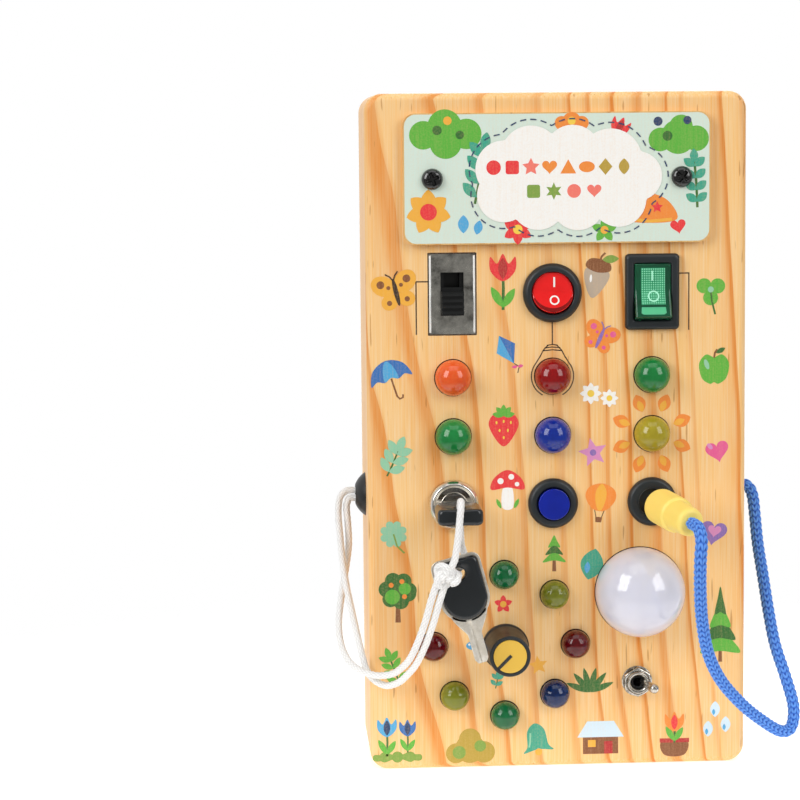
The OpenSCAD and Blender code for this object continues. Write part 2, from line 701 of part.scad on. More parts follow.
// Every step-th place on the ring, counted clockwise from the top
module on_ring(first, step) for (i = [first:step:ring_count - 1])
    on_front(ring_x + ring_r * sin(360 * i / ring_count), ring_z + ring_r * cos(360 * i / ring_count))
        children();

module ring_lamps_green() color("green") on_ring(0, 4) lamp(small_lamp_r, small_lamp_proud);
module ring_lamps_yellow() color("olive") on_ring(1, 4) lamp(small_lamp_r, small_lamp_proud);
module ring_lamps_red() color("darkred") on_ring(2, 4) lamp(small_lamp_r, small_lamp_proud);
module ring_lamps_blue() color("blue") on_ring(3, 4) lamp(small_lamp_r, small_lamp_proud);

module lamp_circuit_board() color("darkgreen") difference() {
    translate([left_x - circuit_margin, circuit_y, lamp_row_2_z - circuit_margin])
        cube([2 * (column_pitch + circuit_margin), circuit_t,
            lamp_row_1_z - lamp_row_2_z + 2 * circuit_margin]);
    for (z = [lamp_row_1_z, lamp_row_2_z], x = [left_x, middle_x, right_x]) on_front(x, z) lead_holes();
}

module ring_circuit_board() color("darkgreen") {
    difference() {
        on_front(ring_x, ring_z)
            ring(ring_r + 4.2, pot_r + 1, -front_wall - circuit_gap - circuit_t, -front_wall - circuit_gap);
        on_ring(0, 1) lead_holes();
    }
    on_front(ring_x, ring_z - (ring_r + pot_r) / 2 - 1)
        post(5, 5, -front_wall - circuit_gap - circuit_t - 1.4, -front_wall - circuit_gap - circuit_t);
}

// ---- push button, socket and lock ----

module push_button_body() color("black") on_front(middle_x, lock_row_z) difference() {
    union() {
        round_rim(button_rim_r, button_rim_h, button_cap_r + fit);
        bar(thread_r, -button_depth, 0);
        for (s = [-1, 1]) translate([s * 2.5, 0, 0]) post(0.6, 2.4, -button_depth - 4, -button_depth);
    }
    bar(button_cap_r + fit, -button_lip, button_rim_h + cut);
    bar(button_cap_r + 0.6 + fit, button_floor, -button_lip);
}

module push_button_cap() color("blue") on_front(middle_x, lock_row_z) {
    bar(button_cap_r, -button_lip, button_rim_h + button_proud - 0.5);
    translate([0, 0, button_rim_h + button_proud - 0.5])
        cylinder(r1 = button_cap_r, r2 = button_cap_r - 0.5, h = 0.5);
    bar(button_cap_r + 0.6, -button_lip - button_flange_t, -button_lip);
}

module push_button_spring() color("silver") on_front(middle_x, lock_row_z)
    ring(3.4, 2.6, button_floor, -button_lip - button_flange_t);

module panel_nuts() color("silver") for (x = [left_x, middle_x, right_x]) on_front(x, lock_row_z)
    hex_nut(nut_flats, thread_r + fit, -front_wall - nut_t, -front_wall);

module lock_body() color("silver") on_front(left_x, lock_row_z) difference() {
    union() {
        bar(lock_head_r, 0, lock_head_h - 1);
        translate([0, 0, lock_head_h - 1]) cylinder(r1 = lock_head_r, r2 = lock_head_r - 0.9, h = 1);
        bar(thread_r, -lock_depth, 0);
    }
    bar(lock_cylinder_r + 2.2, lock_head_h - 0.6, lock_head_h + cut);
    bar(lock_cylinder_r + fit, -lock_depth - cut, lock_head_h + cut);
}

module lock_cylinder() color("gray") on_front(left_x, lock_row_z) difference() {
    union() {
        bar(lock_cylinder_r, -lock_depth - 0.1, lock_head_h - 0.3);
        bar(lock_cylinder_r + 1.4, -lock_depth - 2, -lock_depth - 0.1);
    }
    post(blade_w + 2 * keyway_gap, blade_t + 2 * keyway_gap, key_out - bow_l - blade_l - 1,
        lock_head_h + cut);
}

module socket_body() color("black") on_front(right_x, lock_row_z) difference() {
    union() {
        round_rim(socket_rim_r, button_rim_h, socket_hole_r);
        bar(thread_r, -socket_hole_depth - 3, 0);
        for (s = [-1, 1]) translate([s * 2.5, 0, 0])
            post(0.6, 2.4, -socket_hole_depth - 7, -socket_hole_depth - 3);
    }
    bar(socket_hole_r, -socket_hole_depth, button_rim_h + cut);
}

// ---- keys: each is drawn with its handle's end at Z = 0 and its blade down, thin along Y ----

// Outline of a handle: square with round corners at its end, a half circle where the blade starts
module bow_outline(w, l) {
    corner = 1.6;
    translate([0, -l + w / 2]) circle(w / 2);
    translate([-w / 2, -l + w / 2]) square([w, l - w / 2 - corner]);
    translate([-w / 2 + corner, -corner - cut]) square([w - 2 * corner, corner + cut]);
    for (s = [-1, 1]) translate([s * (w / 2 - corner), -corner]) circle(corner);
}

module key_slice(y1, y2) translate([0, y2, 0]) rotate([90, 0, 0]) linear_extrude(y2 - y1) children();
module key_hole(y) translate([0, y / 2, -key_hole_in]) rotate([90, 0, 0]) cylinder(r = key_hole_r, h = y);

module key_metal() difference() {
    union() {
        key_slice(-blade_t / 2, blade_t / 2) translate([0, -bow_rim / 2])
            bow_outline(bow_w + 2 * bow_rim, bow_l - bow_rim / 2);
        key_slice(-blade_t / 2, blade_t / 2)
            polygon([[-shoulder_w / 2, shoulder_z], [shoulder_w / 2, shoulder_z],
            [blade_w / 2, -bow_l - shoulder_l], [blade_w / 2, -bow_l - blade_l],
            [-blade_w / 2, -bow_l - blade_l], [-blade_w / 2, -bow_l - shoulder_l]]);
    }
    key_hole(bow_t + cut);
    for (s = [-1, 1]) translate([-0.4, s * blade_t / 2 - 0.25, -bow_l - blade_l - cut])
        cube([0.9, 0.5, blade_l - 2]);
}

module key_plastic() difference() {
    union() for (s = [-1, 1]) translate([0, s * (bow_t + blade_t) / 4, 0])
        key_slice(-(bow_t - blade_t) / 4, (bow_t - blade_t) / 4) bow_outline(bow_w, bow_l - 2 * bow_rim);
    key_hole(bow_t + cut);
}

module in_lock() on_front(left_x, lock_row_z) translate([0, 0, key_out]) children();
module hanging_spare() translate(spare_hole_at) rotate([0, -spare_tilt, 0])
    translate([0, 0, key_hole_in]) children();

module key_blade() color("silver") in_lock() key_metal();
module key_bow() color("black") in_lock() key_plastic();
module spare_key_blade() color("silver") hanging_spare() key_metal();
module spare_key_bow() color("black") hanging_spare() key_plastic();

// ---- plug ----

module along_plug() on_front(right_x, lock_row_z) rotate([plug_droop, plug_lean, 0]) children();

module plug_pin() color("silver") along_plug() {
    bar(pin_r, -pin_depth + 0.8, plug_start);
    translate([0, 0, -pin_depth]) cylinder(r1 = pin_r - 0.7, r2 = pin_r, h = 0.8);
}

module plug_handle() color("yellow") along_plug() {
    translate([0, 0, plug_start]) cylinder(r1 = plug_r - 0.8, r2 = plug_r, h = 0.8);
    bar(plug_r, plug_start + 0.8, plug_step);
    translate([0, 0, plug_step])
        cylinder(r1 = plug_r - plug_ledge, r2 = plug_end_r, h = plug_end - plug_step - 1);
    translate([0, 0, plug_end - 1]) cylinder(r1 = plug_end_r, r2 = plug_end_r - 0.6, h = 1);
}

// ---- dome lamp ----

module dome_lens() color("white") on_front(dome_x, dome_z) {
    difference() {
        union() {
            bar(dome_r, 0, dome_skirt);
            translate([0, 0, dome_skirt]) intersection() {
                sphere(dome_r);
                bar(dome_r + cut, 0, dome_r + cut);
            }
        }
        translate([0, 0, dome_skirt]) intersection() {
            sphere(dome_r - dome_wall);
            bar(dome_r, 0, dome_r);
        }
        bar(dome_neck_r - dome_wall, -cut, dome_skirt + cut);
    }
    ring(dome_neck_r, dome_neck_r - dome_wall, -front_wall - 2, dome_wall);
}

module dome_base() color("white") on_front(dome_x, dome_z) {
    ring(dome_neck_r + 2.4, dome_neck_r + fit, -front_wall - 2, -front_wall);
    bar(dome_neck_r - dome_wall - fit, -front_wall - 2, -front_wall - 0.4);
    bar(2.5, -front_wall - 0.4, -2);
    translate([0, 0, -2]) sphere(2.5);
    ring(dome_neck_r + 2.4, 6, -front_wall - 3.2, -front_wall - 2);
}

// ---- dial ----

module dial_control() color("silver") on_front(ring_x, ring_z) difference() {
    union() {
        bar(pot_r, -front_wall - pot_depth, -front_wall);
        bar(dial_neck_r, -front_wall, dial_neck_h);
        for (x = [-3, 0, 3]) translate([x, 0, 0])
            bar(0.4, -front_wall - pot_depth - 3, -front_wall - pot_depth);
    }
    bar(shaft_r + fit, -front_wall - pot_depth + 1, dial_neck_h + cut);
}

module dial_control_nut() color("silver") on_front(ring_x, ring_z)
    hex_nut(dial_nut_flats, dial_neck_r + fit, 0, dial_nut_t);

module dial_shaft() color("silver") on_front(ring_x, ring_z)
    bar(shaft_r, -front_wall - pot_depth + 1.1, shaft_top);

module knob_body() color("black") on_front(ring_x, ring_z) difference() {
    union() {
        bar(knob_base_r, knob_gap, knob_gap + 1.5);
        translate([0, 0, knob_gap + 1.5])
            cylinder(r1 = knob_base_r - 0.3, r2 = knob_top_r, h = knob_h - 1.5);
    }
    bar(shaft_r + 0.02, knob_gap - cut, shaft_top + 0.1);
    bar(cap_r + fit, knob_gap + knob_h - cap_t, knob_gap + knob_h + cut);
}

module knob_cap() color("yellow") on_front(ring_x, ring_z)
    bar(cap_r, knob_gap + knob_h - cap_t, knob_gap + knob_h + 0.2);

// ---- toggle switch ----

module toggle_body() color("silver") on_front(toggle_x, toggle_z) difference() {
    union() {
        post(toggle_case_w, toggle_case_h, -front_wall - toggle_case_d, -front_wall);
        bar(toggle_neck_r, -front_wall, toggle_neck_h);
        for (i = [-1:1]) translate([i * toggle_pin_pitch, 0, 0])
            post(0.8, 2, -front_wall - toggle_case_d - toggle_pin_l, -front_wall - toggle_case_d);
    }
    bar(lever_ball_r + fit, lever_pivot - 5, lever_pivot + 0.2);
    translate([0, 0, lever_pivot + 0.2])
        cylinder(r1 = lever_ball_r + fit, r2 = toggle_bore_r, h = toggle_neck_h - lever_pivot - 0.2);
    bar(toggle_bore_r, toggle_neck_h, toggle_neck_h + cut);
}

module toggle_nut() color("silver") on_front(toggle_x, toggle_z) {
    ring(toggle_flats / 2 + 1, toggle_neck_r + toggle_thread_gap, 0, washer_t);
    hex_nut(toggle_flats, toggle_neck_r + toggle_thread_gap, washer_t, washer_t + toggle_nut_t);
}

module toggle_lever() color("silver") on_front(toggle_x, toggle_z)
    translate([0, 0, lever_pivot]) rotate([0, lever_lean, 0]) {
        sphere(lever_ball_r);
        cylinder(r1 = 0.9, r2 = lever_r, h = lever_l);
        translate([0, 0, lever_l]) sphere(lever_r);
        bar(0.7, -3.6, 0);
    }

// ---- grommet ----

module cord_grommet() color("black")
    translate([-board_w / 2, 0, cord_row_z]) rotate([0, -90, 0]) difference() {
    union() {
        intersection() {
            translate([0, 0, grommet_h - grommet_curve]) sphere(grommet_curve);
            bar(grommet_r + cut, 0, grommet_h + cut);
        }
        bar(grommet_neck_r, -side_wall, 0);
    }
    bar(grommet_hole_r, -side_wall - cut, grommet_h + cut);
}

// ---- batteries ----

module door_screw_places() for (s = [-1, 1])
    translate([s * door_screw_x, back_y, battery_z]) rotate([90, 0, 0]) children();

module battery_tray() color("dimgray") difference() {
    union() {
        translate([-tray_w / 2 - tray_wall, tray_y, battery_z - tray_h / 2 - tray_wall])
            cube([tray_w + 2 * tray_wall, tray_d + tray_wall, tray_h + 2 * tray_wall]);
        translate([-tray_w / 2 - tray_flange, panel_y - 3, battery_z - tray_h / 2 - tray_wall])
            cube([tray_w + 2 * tray_flange, 3, tray_h + 2 * tray_wall]);
    }
    difference() {
        translate([-tray_w / 2, tray_y + tray_wall, battery_z - tray_h / 2])
            cube([tray_w, tray_d + cut, tray_h]);
        for (s = [-1, 1]) translate([-tray_w / 4, tray_y, battery_z + s * battery_pitch / 2 - 0.2])
            cube([tray_w / 2, 4, 0.4]);
    }
    door_screw_places() bar(door_screw_r + fit, panel_t - cut, panel_t + 2.6);
}

// Children once for each battery, turned end for end in the middle one
module battery_places() for (i = [-1:1])
    translate([0, tray_y + tray_wall + battery_r + 0.1, battery_z + i * battery_pitch])
        rotate([0, i == 0 ? 180 : 0, 0]) rotate([0, 90, 0]) children();

module batteries() color("orange") battery_places() {
    bar(battery_r, battery_top - battery_l, battery_top);
    bar(nub_r, battery_top, battery_top + nub_l);
}

module battery_contacts() color("silver") battery_places() {
    post(contact_w, contact_h, tray_w / 2 - contact_t, tray_w / 2);
    post(contact_w, contact_h, -tray_w / 2, -tray_w / 2 + contact_t);
    translate([0, 0, -tray_w / 2 + contact_t]) cylinder(r1 = spring_r, r2 = spring_r * 0.6, h = spring_l);
}

module battery_door() color("black") difference() {
    translate([-door_w / 2, back_y - door_t, battery_z - door_h / 2]) cube([door_w, door_t, door_h]);
    door_screw_places() door_screw_shape(fit);
}

module door_screw_shape(extra) {
    cylinder(r1 = door_screw_head_r + extra, r2 = door_screw_r + extra,
        h = door_screw_head_r - door_screw_r);
    bar(door_screw_r + extra, 0, panel_t + 2.4);
}

module battery_door_screws() color("silver") door_screw_places() difference() {
    door_screw_shape(0);
    rotate([180, 0, 0]) cross_recess(0.4, 1.8, 0.5);
}

// ---- cords in their places ----

module white_cord_board_end() color("white") {
    cord_tube(white_a, 0, white_a_split, white_r);
    cord_tube(white_b, 0, white_b_split, white_r);
}

module white_cord_key_end() color("white") {
    cord_tube(white_a, white_a_split, len(white_a) - 1, white_r);
    cord_tube(white_b, white_b_split, len(white_b) - 1, white_r);
}

module white_cord_knot() color("white") translate(knot_at) sphere(knot_r);

module white_cord_loop() color("white") {
    cord_tube(white_loop, 0, white_loop_splits[0], white_r);
    cord_tube(white_loop, white_loop_splits[1], len(white_loop) - 1, white_r);
}

module white_cord_eye() color("white")
    cord_tube(white_loop, white_loop_splits[0], white_loop_splits[1], white_r);

module blue_cord_board_end() color("royalblue") cord_tube(blue, 0, blue_split, blue_r);
module blue_cord_plug_end() color("royalblue") cord_tube(blue, blue_split, len(blue) - 1, blue_r);

front_block();
back_panel();
back_panel_screws();
name_plate();
name_plate_screws();
slide_switch_frame();
slide_switch_base();
slide_switch_slider();
red_rocker_housing();
red_rocker_paddle();
green_rocker_housing();
green_rocker_paddle();
lamp_orange();
lamp_red();
lamp_green();
lamp_lower_green();
lamp_blue();
lamp_yellow();
ring_lamps_green();
ring_lamps_yellow();
ring_lamps_red();
ring_lamps_blue();
lamp_circuit_board();
ring_circuit_board();
push_button_body();
push_button_cap();
push_button_spring();
panel_nuts();
lock_body();
lock_cylinder();
key_blade();
key_bow();
spare_key_blade();
spare_key_bow();
socket_body();
plug_pin();
plug_handle();
dome_lens();
dome_base();
dial_control();
dial_control_nut();
dial_shaft();
knob_body();
knob_cap();
toggle_body();
toggle_nut();
toggle_lever();
cord_grommet();
battery_tray();
battery_contacts();
batteries();
battery_door();
battery_door_screws();
white_cord_board_end();
white_cord_key_end();
white_cord_knot();
white_cord_loop();
white_cord_eye();
blue_cord_board_end();
blue_cord_plug_end();
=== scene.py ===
# %% [markdown]
# # A wooden busy board
# A hollow block of pine carries switches, lamps, a key lock, a plug, a knob and a dome on its front.
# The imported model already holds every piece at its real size, so this lesson only dresses it: smooth
# skins for the pieces that catch the light, braided cords at their real length, printing on the wood,
# and one material for each finish. Everything is in metres, with Z up and the front facing along -Y.

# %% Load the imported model
import functools
import json
import math

import bmesh
import bpy
import numpy as np
from mathutils import Matrix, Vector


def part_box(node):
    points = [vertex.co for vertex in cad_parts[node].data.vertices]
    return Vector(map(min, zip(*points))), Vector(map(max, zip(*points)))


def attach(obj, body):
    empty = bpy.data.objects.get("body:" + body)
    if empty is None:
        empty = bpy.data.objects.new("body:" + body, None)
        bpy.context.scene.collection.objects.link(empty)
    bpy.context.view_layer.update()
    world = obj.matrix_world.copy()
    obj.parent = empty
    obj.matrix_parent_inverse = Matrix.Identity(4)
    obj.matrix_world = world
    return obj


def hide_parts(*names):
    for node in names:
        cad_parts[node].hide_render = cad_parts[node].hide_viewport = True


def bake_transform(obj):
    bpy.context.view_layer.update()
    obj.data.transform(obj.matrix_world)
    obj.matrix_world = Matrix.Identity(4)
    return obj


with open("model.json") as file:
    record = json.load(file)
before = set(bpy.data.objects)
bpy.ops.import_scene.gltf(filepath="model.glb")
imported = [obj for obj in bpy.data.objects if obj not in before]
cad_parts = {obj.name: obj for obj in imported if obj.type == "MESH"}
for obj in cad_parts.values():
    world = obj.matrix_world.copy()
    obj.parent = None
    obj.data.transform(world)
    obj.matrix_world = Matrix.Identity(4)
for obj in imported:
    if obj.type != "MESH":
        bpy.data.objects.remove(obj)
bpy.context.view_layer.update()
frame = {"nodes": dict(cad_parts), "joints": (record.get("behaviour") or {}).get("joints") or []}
MM = 0.001

# %% [markdown]
# The pieces are placed from the model itself. A node's box gives its middle in X and Z, and the block's
# box gives the plane of the wood's front face, from which every fitting stands out.

# %% Places
block_low, block_high = (np.array(corner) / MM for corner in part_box("front_block"))
FRONT = block_low[1]


def place(node):
    """The middle of a node's box as seen from the front, in millimetres."""
    low, high = (np.array(corner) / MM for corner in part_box(node))
    return (low[0] + high[0]) / 2, (low[2] + high[2]) / 2


print("front face at y =", round(FRONT, 2), "mm; lock at", np.round(place("lock_body"), 2))

# %% [markdown]
# ## The camera
# The photograph was taken a little from the left and from above the board's middle, with a long lens.
# Three small turns describe how the camera looks along +Y: its pan, its tilt and its roll. A long lens
# makes the board's edges nearly parallel, and a short one would make them run together.

# %% Camera
CAMERA_AT = (-82.48 * MM, -709.59 * MM, 176.46 * MM)
PAN, TILT, ROLL = -0.055846, 0.103385, -0.009723
FOCAL_PIXELS, IMAGE_PIXELS, SENSOR_MM = 2511.4, 800, 36.0


def turn_about(axis, angle):
    """A rotation matrix about x, y or z by an angle in radians."""
    c, s = math.cos(angle), math.sin(angle)
    return np.array({
        "x": [[1, 0, 0], [0, c, -s], [0, s, c]],
        "y": [[c, 0, s], [0, 1, 0], [-s, 0, c]],
        "z": [[c, -s, 0], [s, c, 0], [0, 0, 1]],
    }[axis])


right_down_ahead = np.array([[1, 0, 0], [0, 0, -1], [0, 1, 0]])
looks = turn_about("z", ROLL) @ turn_about("x", TILT) @ turn_about("y", PAN) @ right_down_ahead
camera_data = bpy.data.cameras.new("photo_camera")
camera_data.sensor_width = SENSOR_MM
camera_data.lens = FOCAL_PIXELS / IMAGE_PIXELS * SENSOR_MM
camera_data.clip_end = 20
camera = bpy.data.objects.new("photo_camera", camera_data)
bpy.context.scene.collection.objects.link(camera)
columns = np.stack([looks[0], -looks[1], -looks[2], CAMERA_AT], axis=1)
camera.matrix_world = Matrix(np.vstack([columns, [0, 0, 0, 1]]).tolist())
bpy.context.scene.camera = camera
print("lens:", round(camera_data.lens, 1), "mm")

# %% [markdown]
# ## The cords
# Two soft cords tie the loose pieces to the board, so that a child can't carry them off. The white one
# is a thin string folded in two: both halves leave the grommet, hang in a bight, and rise to a knot, and
# beyond the knot a small loop holds both keys. The blue one is a knitted cord that runs from the board's
# right side to the rear of the plug. The routes below are those of the part's own source.

# %% Routes of the cords, in millimetres
WHITE_A = [
    [-47, 0, 77.1], [-56.6, 0, 77.1], [-58.6, 0, 76.8], [-60.3, -0.3, 74.8], [-60.8, -1.2, 70.5],
    [-60.4, -3.8, 64], [-59.9, -6.5, 57.5], [-59, -9, 51], [-57.7, -11.8, 44.5],
    [-56.3, -14.8, 38], [-54.9, -17.6, 32], [-53.9, -19.1, 28.8], [-51.8, -20.8, 26.3],
    [-48.6, -23.4, 25.3], [-45.4, -26.7, 26.9], [-43.2, -29.8, 29.6], [-41, -33.4, 33.2],
    [-38.8, -37.6, 39], [-36.7, -41, 46], [-35, -43, 52.6], [-33.2, -44, 58.3],
]
WHITE_B = [
    [-47, 0, 74.9], [-56.6, 0, 74.9], [-57.8, 0, 74.4], [-58.4, -0.2, 72.2], [-58.1, -1, 67.5],
    [-58, -2.4, 61.5], [-59, -4, 55], [-60.3, -6.4, 48], [-61.3, -9.4, 41],
    [-60.9, -12.2, 35.4], [-59, -16, 31.2], [-56.2, -20.3, 29.4], [-53.2, -22.7, 28.5],
    [-50.2, -24.6, 28.4], [-47, -26.9, 29.4], [-44.9, -29.6, 31.4], [-42.8, -33.4, 34.6],
    [-40.9, -37.6, 39.7], [-38.8, -41, 46.6], [-37.2, -43, 53.1], [-35.3, -44, 58.9],
]
WHITE_LOOP = [
    [-32.3, -44.5, 61.2], [-31.1, -44.5, 63.6], [-30.5, -44.6, 66.5],
    [-29.9, -44.7, 71], [-29.5, -44.7, 75.2], [-29.2, -44.2, 77.9], [-29, -42.6, 79.2],
    [-29, -40.5, 79], [-29, -39.1, 77.4], [-29, -39, 72.6], [-28.4, -34.4, 66.9],
    [-27.9, -33.5, 65], [-27.5, -33.1, 63], [-28.2, -33.1, 60.6], [-29.4, -34.1, 59.2],
    [-29.6, -35.6, 59.1], [-29.6, -40.6, 59.1], [-30.2, -42.3, 59], [-31.6, -43.1, 58.8],
]
BLUE = [
    [46, 0, 77], [54.5, 0, 77], [57.2, 0, 76.2], [58.5, -0.4, 73.5], [59, -1.4, 68],
    [59.6, -2.8, 60], [60.7, -5.4, 50.5], [61.8, -8, 41], [63.2, -10.4, 32],
    [65.5, -13.6, 23.5], [67.2, -17, 15.5], [66, -20, 10.3], [62.5, -22.4, 9.6],
    [56, -26.4, 14], [49.5, -31, 19.8], [43, -35.8, 27.4], [38.6, -40.4, 35.8],
    [36, -45.4, 45.5], [34.6, -50, 55.5], [34.2, -52.6, 64], [34.6, -51.9, 69.2],
    [34.3, -48.2, 72], [33.1, -43.5, 72.7],
]
WHITE_D, BLUE_D = 2.0, 3.5

# %% [markdown]
# A cord's middle line is a smooth curve through its route. The Catmull-Rom cubic passes through every
# point and leaves each along the line between its two neighbours, so the bends stay soft. The curve is
# then cut into equal steps, because stitches of equal length need rings of equal spacing.

# %% A smooth line, and the tube round it
SPAN_STEPS = 24


def spans(a, b, c, d, steps):
    """Points from each b toward its c, on the Catmull-Rom cubic through the rows a, b, c, d:
    (2b + (c-a)t + (2a-5b+4c-d)t^2 + (3b-a-3c+d)t^3) / 2."""
    t = np.linspace(0, 1, steps, endpoint=False)[None, :, None]
    a, b, c, d = (rows[:, None] for rows in (a, b, c, d))
    cubic = b + 0.5 * ((c - a) * t + (2 * a - 5 * b + 4 * c - d) * t**2 + (3 * b - a - 3 * c + d) * t**3)
    return cubic.reshape(-1, b.shape[-1])


def walk(line):
    """The distance along a line of points, at each of them."""
    return np.concatenate([[0], np.cumsum(np.linalg.norm(np.diff(line, axis=0), axis=1))])


def through(points, step=0.25):
    """A smooth line through points, cut into equal steps."""
    p = np.asarray(points, float)
    p = np.vstack([2 * p[0] - p[1], p, 2 * p[-1] - p[-2]])
    line = np.vstack([spans(*(p[k:len(p) - 3 + k] for k in range(4)), SPAN_STEPS), p[-2]])
    walked = walk(line)
    wanted = np.linspace(0, walked[-1], int(walked[-1] / step) + 1)
    return np.stack([np.interp(wanted, walked, line[:, k]) for k in range(3)], axis=1)


def length_of(line):
    """The length along a line of points."""
    return float(np.linalg.norm(np.diff(line, axis=0), axis=1).sum())


def frames_along(line):
    """Two unit vectors square to the line at each of its points, carried along without twisting:
    each is the last one with its part along the new direction taken out."""
    ahead = np.gradient(line, axis=0)
    ahead /= np.linalg.norm(ahead, axis=1)[:, None]
    side = np.zeros_like(ahead)
    last = np.array([0.0, 0.0, 1.0]) if abs(ahead[0][2]) < 0.9 else np.array([0.0, 1.0, 0.0])
    for i, t in enumerate(ahead):
        last = last - (last @ t) * t
        last /= np.linalg.norm(last)
        side[i] = last
    return side, np.cross(ahead, side)


def mesh_object(name, points, faces, smooth=True, solid=True):
    """A new object from points in millimetres and faces. A solid's faces are turned outward."""
    mesh = bpy.data.meshes.new(name)
    mesh.from_pydata((np.asarray(points, float) * MM).tolist(), [], [list(f) for f in faces])
    mesh.validate()
    if solid:
        edit = bmesh.new()
        edit.from_mesh(mesh)
        bmesh.ops.recalc_face_normals(edit, faces=edit.faces)
        edit.to_mesh(mesh)
        edit.free()
    if smooth:
        mesh.shade_smooth()
    obj = bpy.data.objects.new(name, mesh)
    bpy.context.scene.collection.objects.link(obj)
    return obj


def quads(index):
    """Quads that join each point of a grid of numbers to its neighbours, and its last column to the first."""
    index = np.hstack([index, index[:, :1]])
    return np.stack([index[:-1, :-1], index[:-1, 1:], index[1:, 1:], index[1:, :-1]], axis=-1).reshape(-1, 4)


def sheets(name, outlines):
    """One mesh of thin prints: each outline, a closed line of points in space, is one face."""
    ends = np.cumsum([len(outline) for outline in outlines])
    faces = [range(end - len(outline), end) for outline, end in zip(outlines, ends)]
    return mesh_object(name, np.vstack(outlines), faces, smooth=False, solid=False)


def tube(name, line, radii, around):
    """A tube round a line: point (i, k) is line[i] + radii[i, k] (cos a side[i] + sin a up[i]), where
    a = 2 pi k / around. Its two ends are closed with a flat face."""
    side, up = frames_along(line)
    angle = 2 * np.pi * np.arange(around) / around
    spokes = np.cos(angle)[None, :, None] * side[:, None] + np.sin(angle)[None, :, None] * up[:, None]
    points = line[:, None] + radii[..., None] * spokes
    index = np.arange(len(line) * around).reshape(-1, around)
    faces = [*quads(index).tolist(), index[0, ::-1].tolist(), index[-1].tolist()]
    return mesh_object(name, points.reshape(-1, 3), faces)


for name, route in (("white_a", WHITE_A), ("white_b", WHITE_B), ("loop", WHITE_LOOP), ("blue", BLUE)):
    print(name, "is", round(length_of(through(route)), 1), "mm long")

# %% [markdown]
# The white string is braided: two sets of threads wind round it in opposite directions, and where they
# cross they leave small diamonds. The relief is the product of two sines of the two winding directions.
# The blue cord is knitted: columns of V-shaped stitches run along it, with a gap in each V. The colour of
# each cord darkens into its gaps as painted shade.

# %% Braided and knitted surfaces
BRAID_AROUND, BRAID_STITCH, BRAID_DEPTH = 7, 1.5, 0.16
KNIT_AROUND, KNIT_STITCH = 6, 1.75


def braid_height(u, s):
    """0 in the grooves and 1 on the threads: |sin pi(nu + s/p)| times |sin pi(nu - s/p)|."""
    turn, run = u * BRAID_AROUND, s / BRAID_STITCH
    crossing = np.abs(np.sin(np.pi * (turn + run)) * np.sin(np.pi * (turn - run)))
    return np.sqrt(crossing)


def knit_height(u, s):
    """0 in the gaps and 1 on the yarn: grooves cross each column in a V, and a gap opens in its middle."""
    across = (u * KNIT_AROUND) % 1 - 0.5
    run = s / KNIT_STITCH + 1.05 * np.abs(across)
    yarn = np.sqrt(np.abs(np.sin(np.pi * run)))
    edge = 1 - 0.55 * np.exp(-((np.abs(across) - 0.5) / 0.07) ** 2)
    gap = 1 - 0.95 * np.exp(-(across / 0.13) ** 2) * (0.5 + 0.5 * np.cos(2 * np.pi * run)) ** 0.7
    return np.clip(yarn * edge * gap, 0, 1)


def textured(name, line, run, radius, height, depth, around):
    """A cord with its relief in its shape: radius (1 - depth (1 - height)). The height also goes with
    each point of the mesh, where a material can read it."""
    relief = height((np.arange(around) / around)[None, :], run[:, None])
    obj = tube(name, line, radius * (1 - depth * (1 - relief)), around)
    layer = obj.data.attributes.new("relief", "FLOAT", "POINT")
    layer.data.foreach_set("value", relief.astype(np.float32).ravel())
    return obj


def corded(name, route, diameter, height, depth, around, step):
    """A textured cord along a route, and its middle line."""
    line = through(route, step)
    return textured(name, line, step * np.arange(len(line)), diameter / 2, height, depth, around), line


(white_a, line_a), (white_b, line_b), (white_loop, line_loop) = (
    corded("cord_white_" + name, route, WHITE_D, braid_height, BRAID_DEPTH, 28, 0.2)
    for name, route in (("a", WHITE_A), ("b", WHITE_B), ("loop", WHITE_LOOP)))
blue_cord, line_blue = corded("cord_blue", BLUE, BLUE_D, knit_height, 0.26, 60, 0.22)
print("blue cord:", len(blue_cord.data.polygons), "faces")

# %% [markdown]
# The knot is a doubled string tied in an overhand knot. Pulled tight, its middle line is close to a
# trefoil, so two strings run side by side along that curve. Its size comes from the solid it replaces.

# %% The knot
KNOT_AT = np.array([-33.4, -44.2, 59.4])
KNOT_SCALE, KNOT_SPREAD, KNOT_POINTS, KNOT_LEAN, STRAND_R = 0.86, 0.8, 220, math.radians(35), 0.98


def knot_line(offset):
    """The trefoil (sin t + 2 sin 2t, -1.25 sin 3t, cos t - 2 cos 2t), moved outward by offset."""
    t = np.linspace(0.35, 2 * np.pi - 0.1, KNOT_POINTS)
    flat = np.stack([np.sin(t) + 2 * np.sin(2 * t), -1.25 * np.sin(3 * t),
                     np.cos(t) - 2 * np.cos(2 * t)], axis=1)
    line = flat * [KNOT_SCALE, KNOT_SCALE, 0.86 * KNOT_SCALE]
    outward = line * [1, 0, 1]
    outward /= np.linalg.norm(outward, axis=1)[:, None] + 1e-6
    return (line + offset * outward) @ turn_about("y", KNOT_LEAN).T + KNOT_AT


knot_strands = []
for number, offset in enumerate((-KNOT_SPREAD, KNOT_SPREAD)):
    line = knot_line(offset)
    knot_strands.append(textured("cord_knot_%d" % (number + 1), line, walk(line), STRAND_R, braid_height,
                                 BRAID_DEPTH, 24))
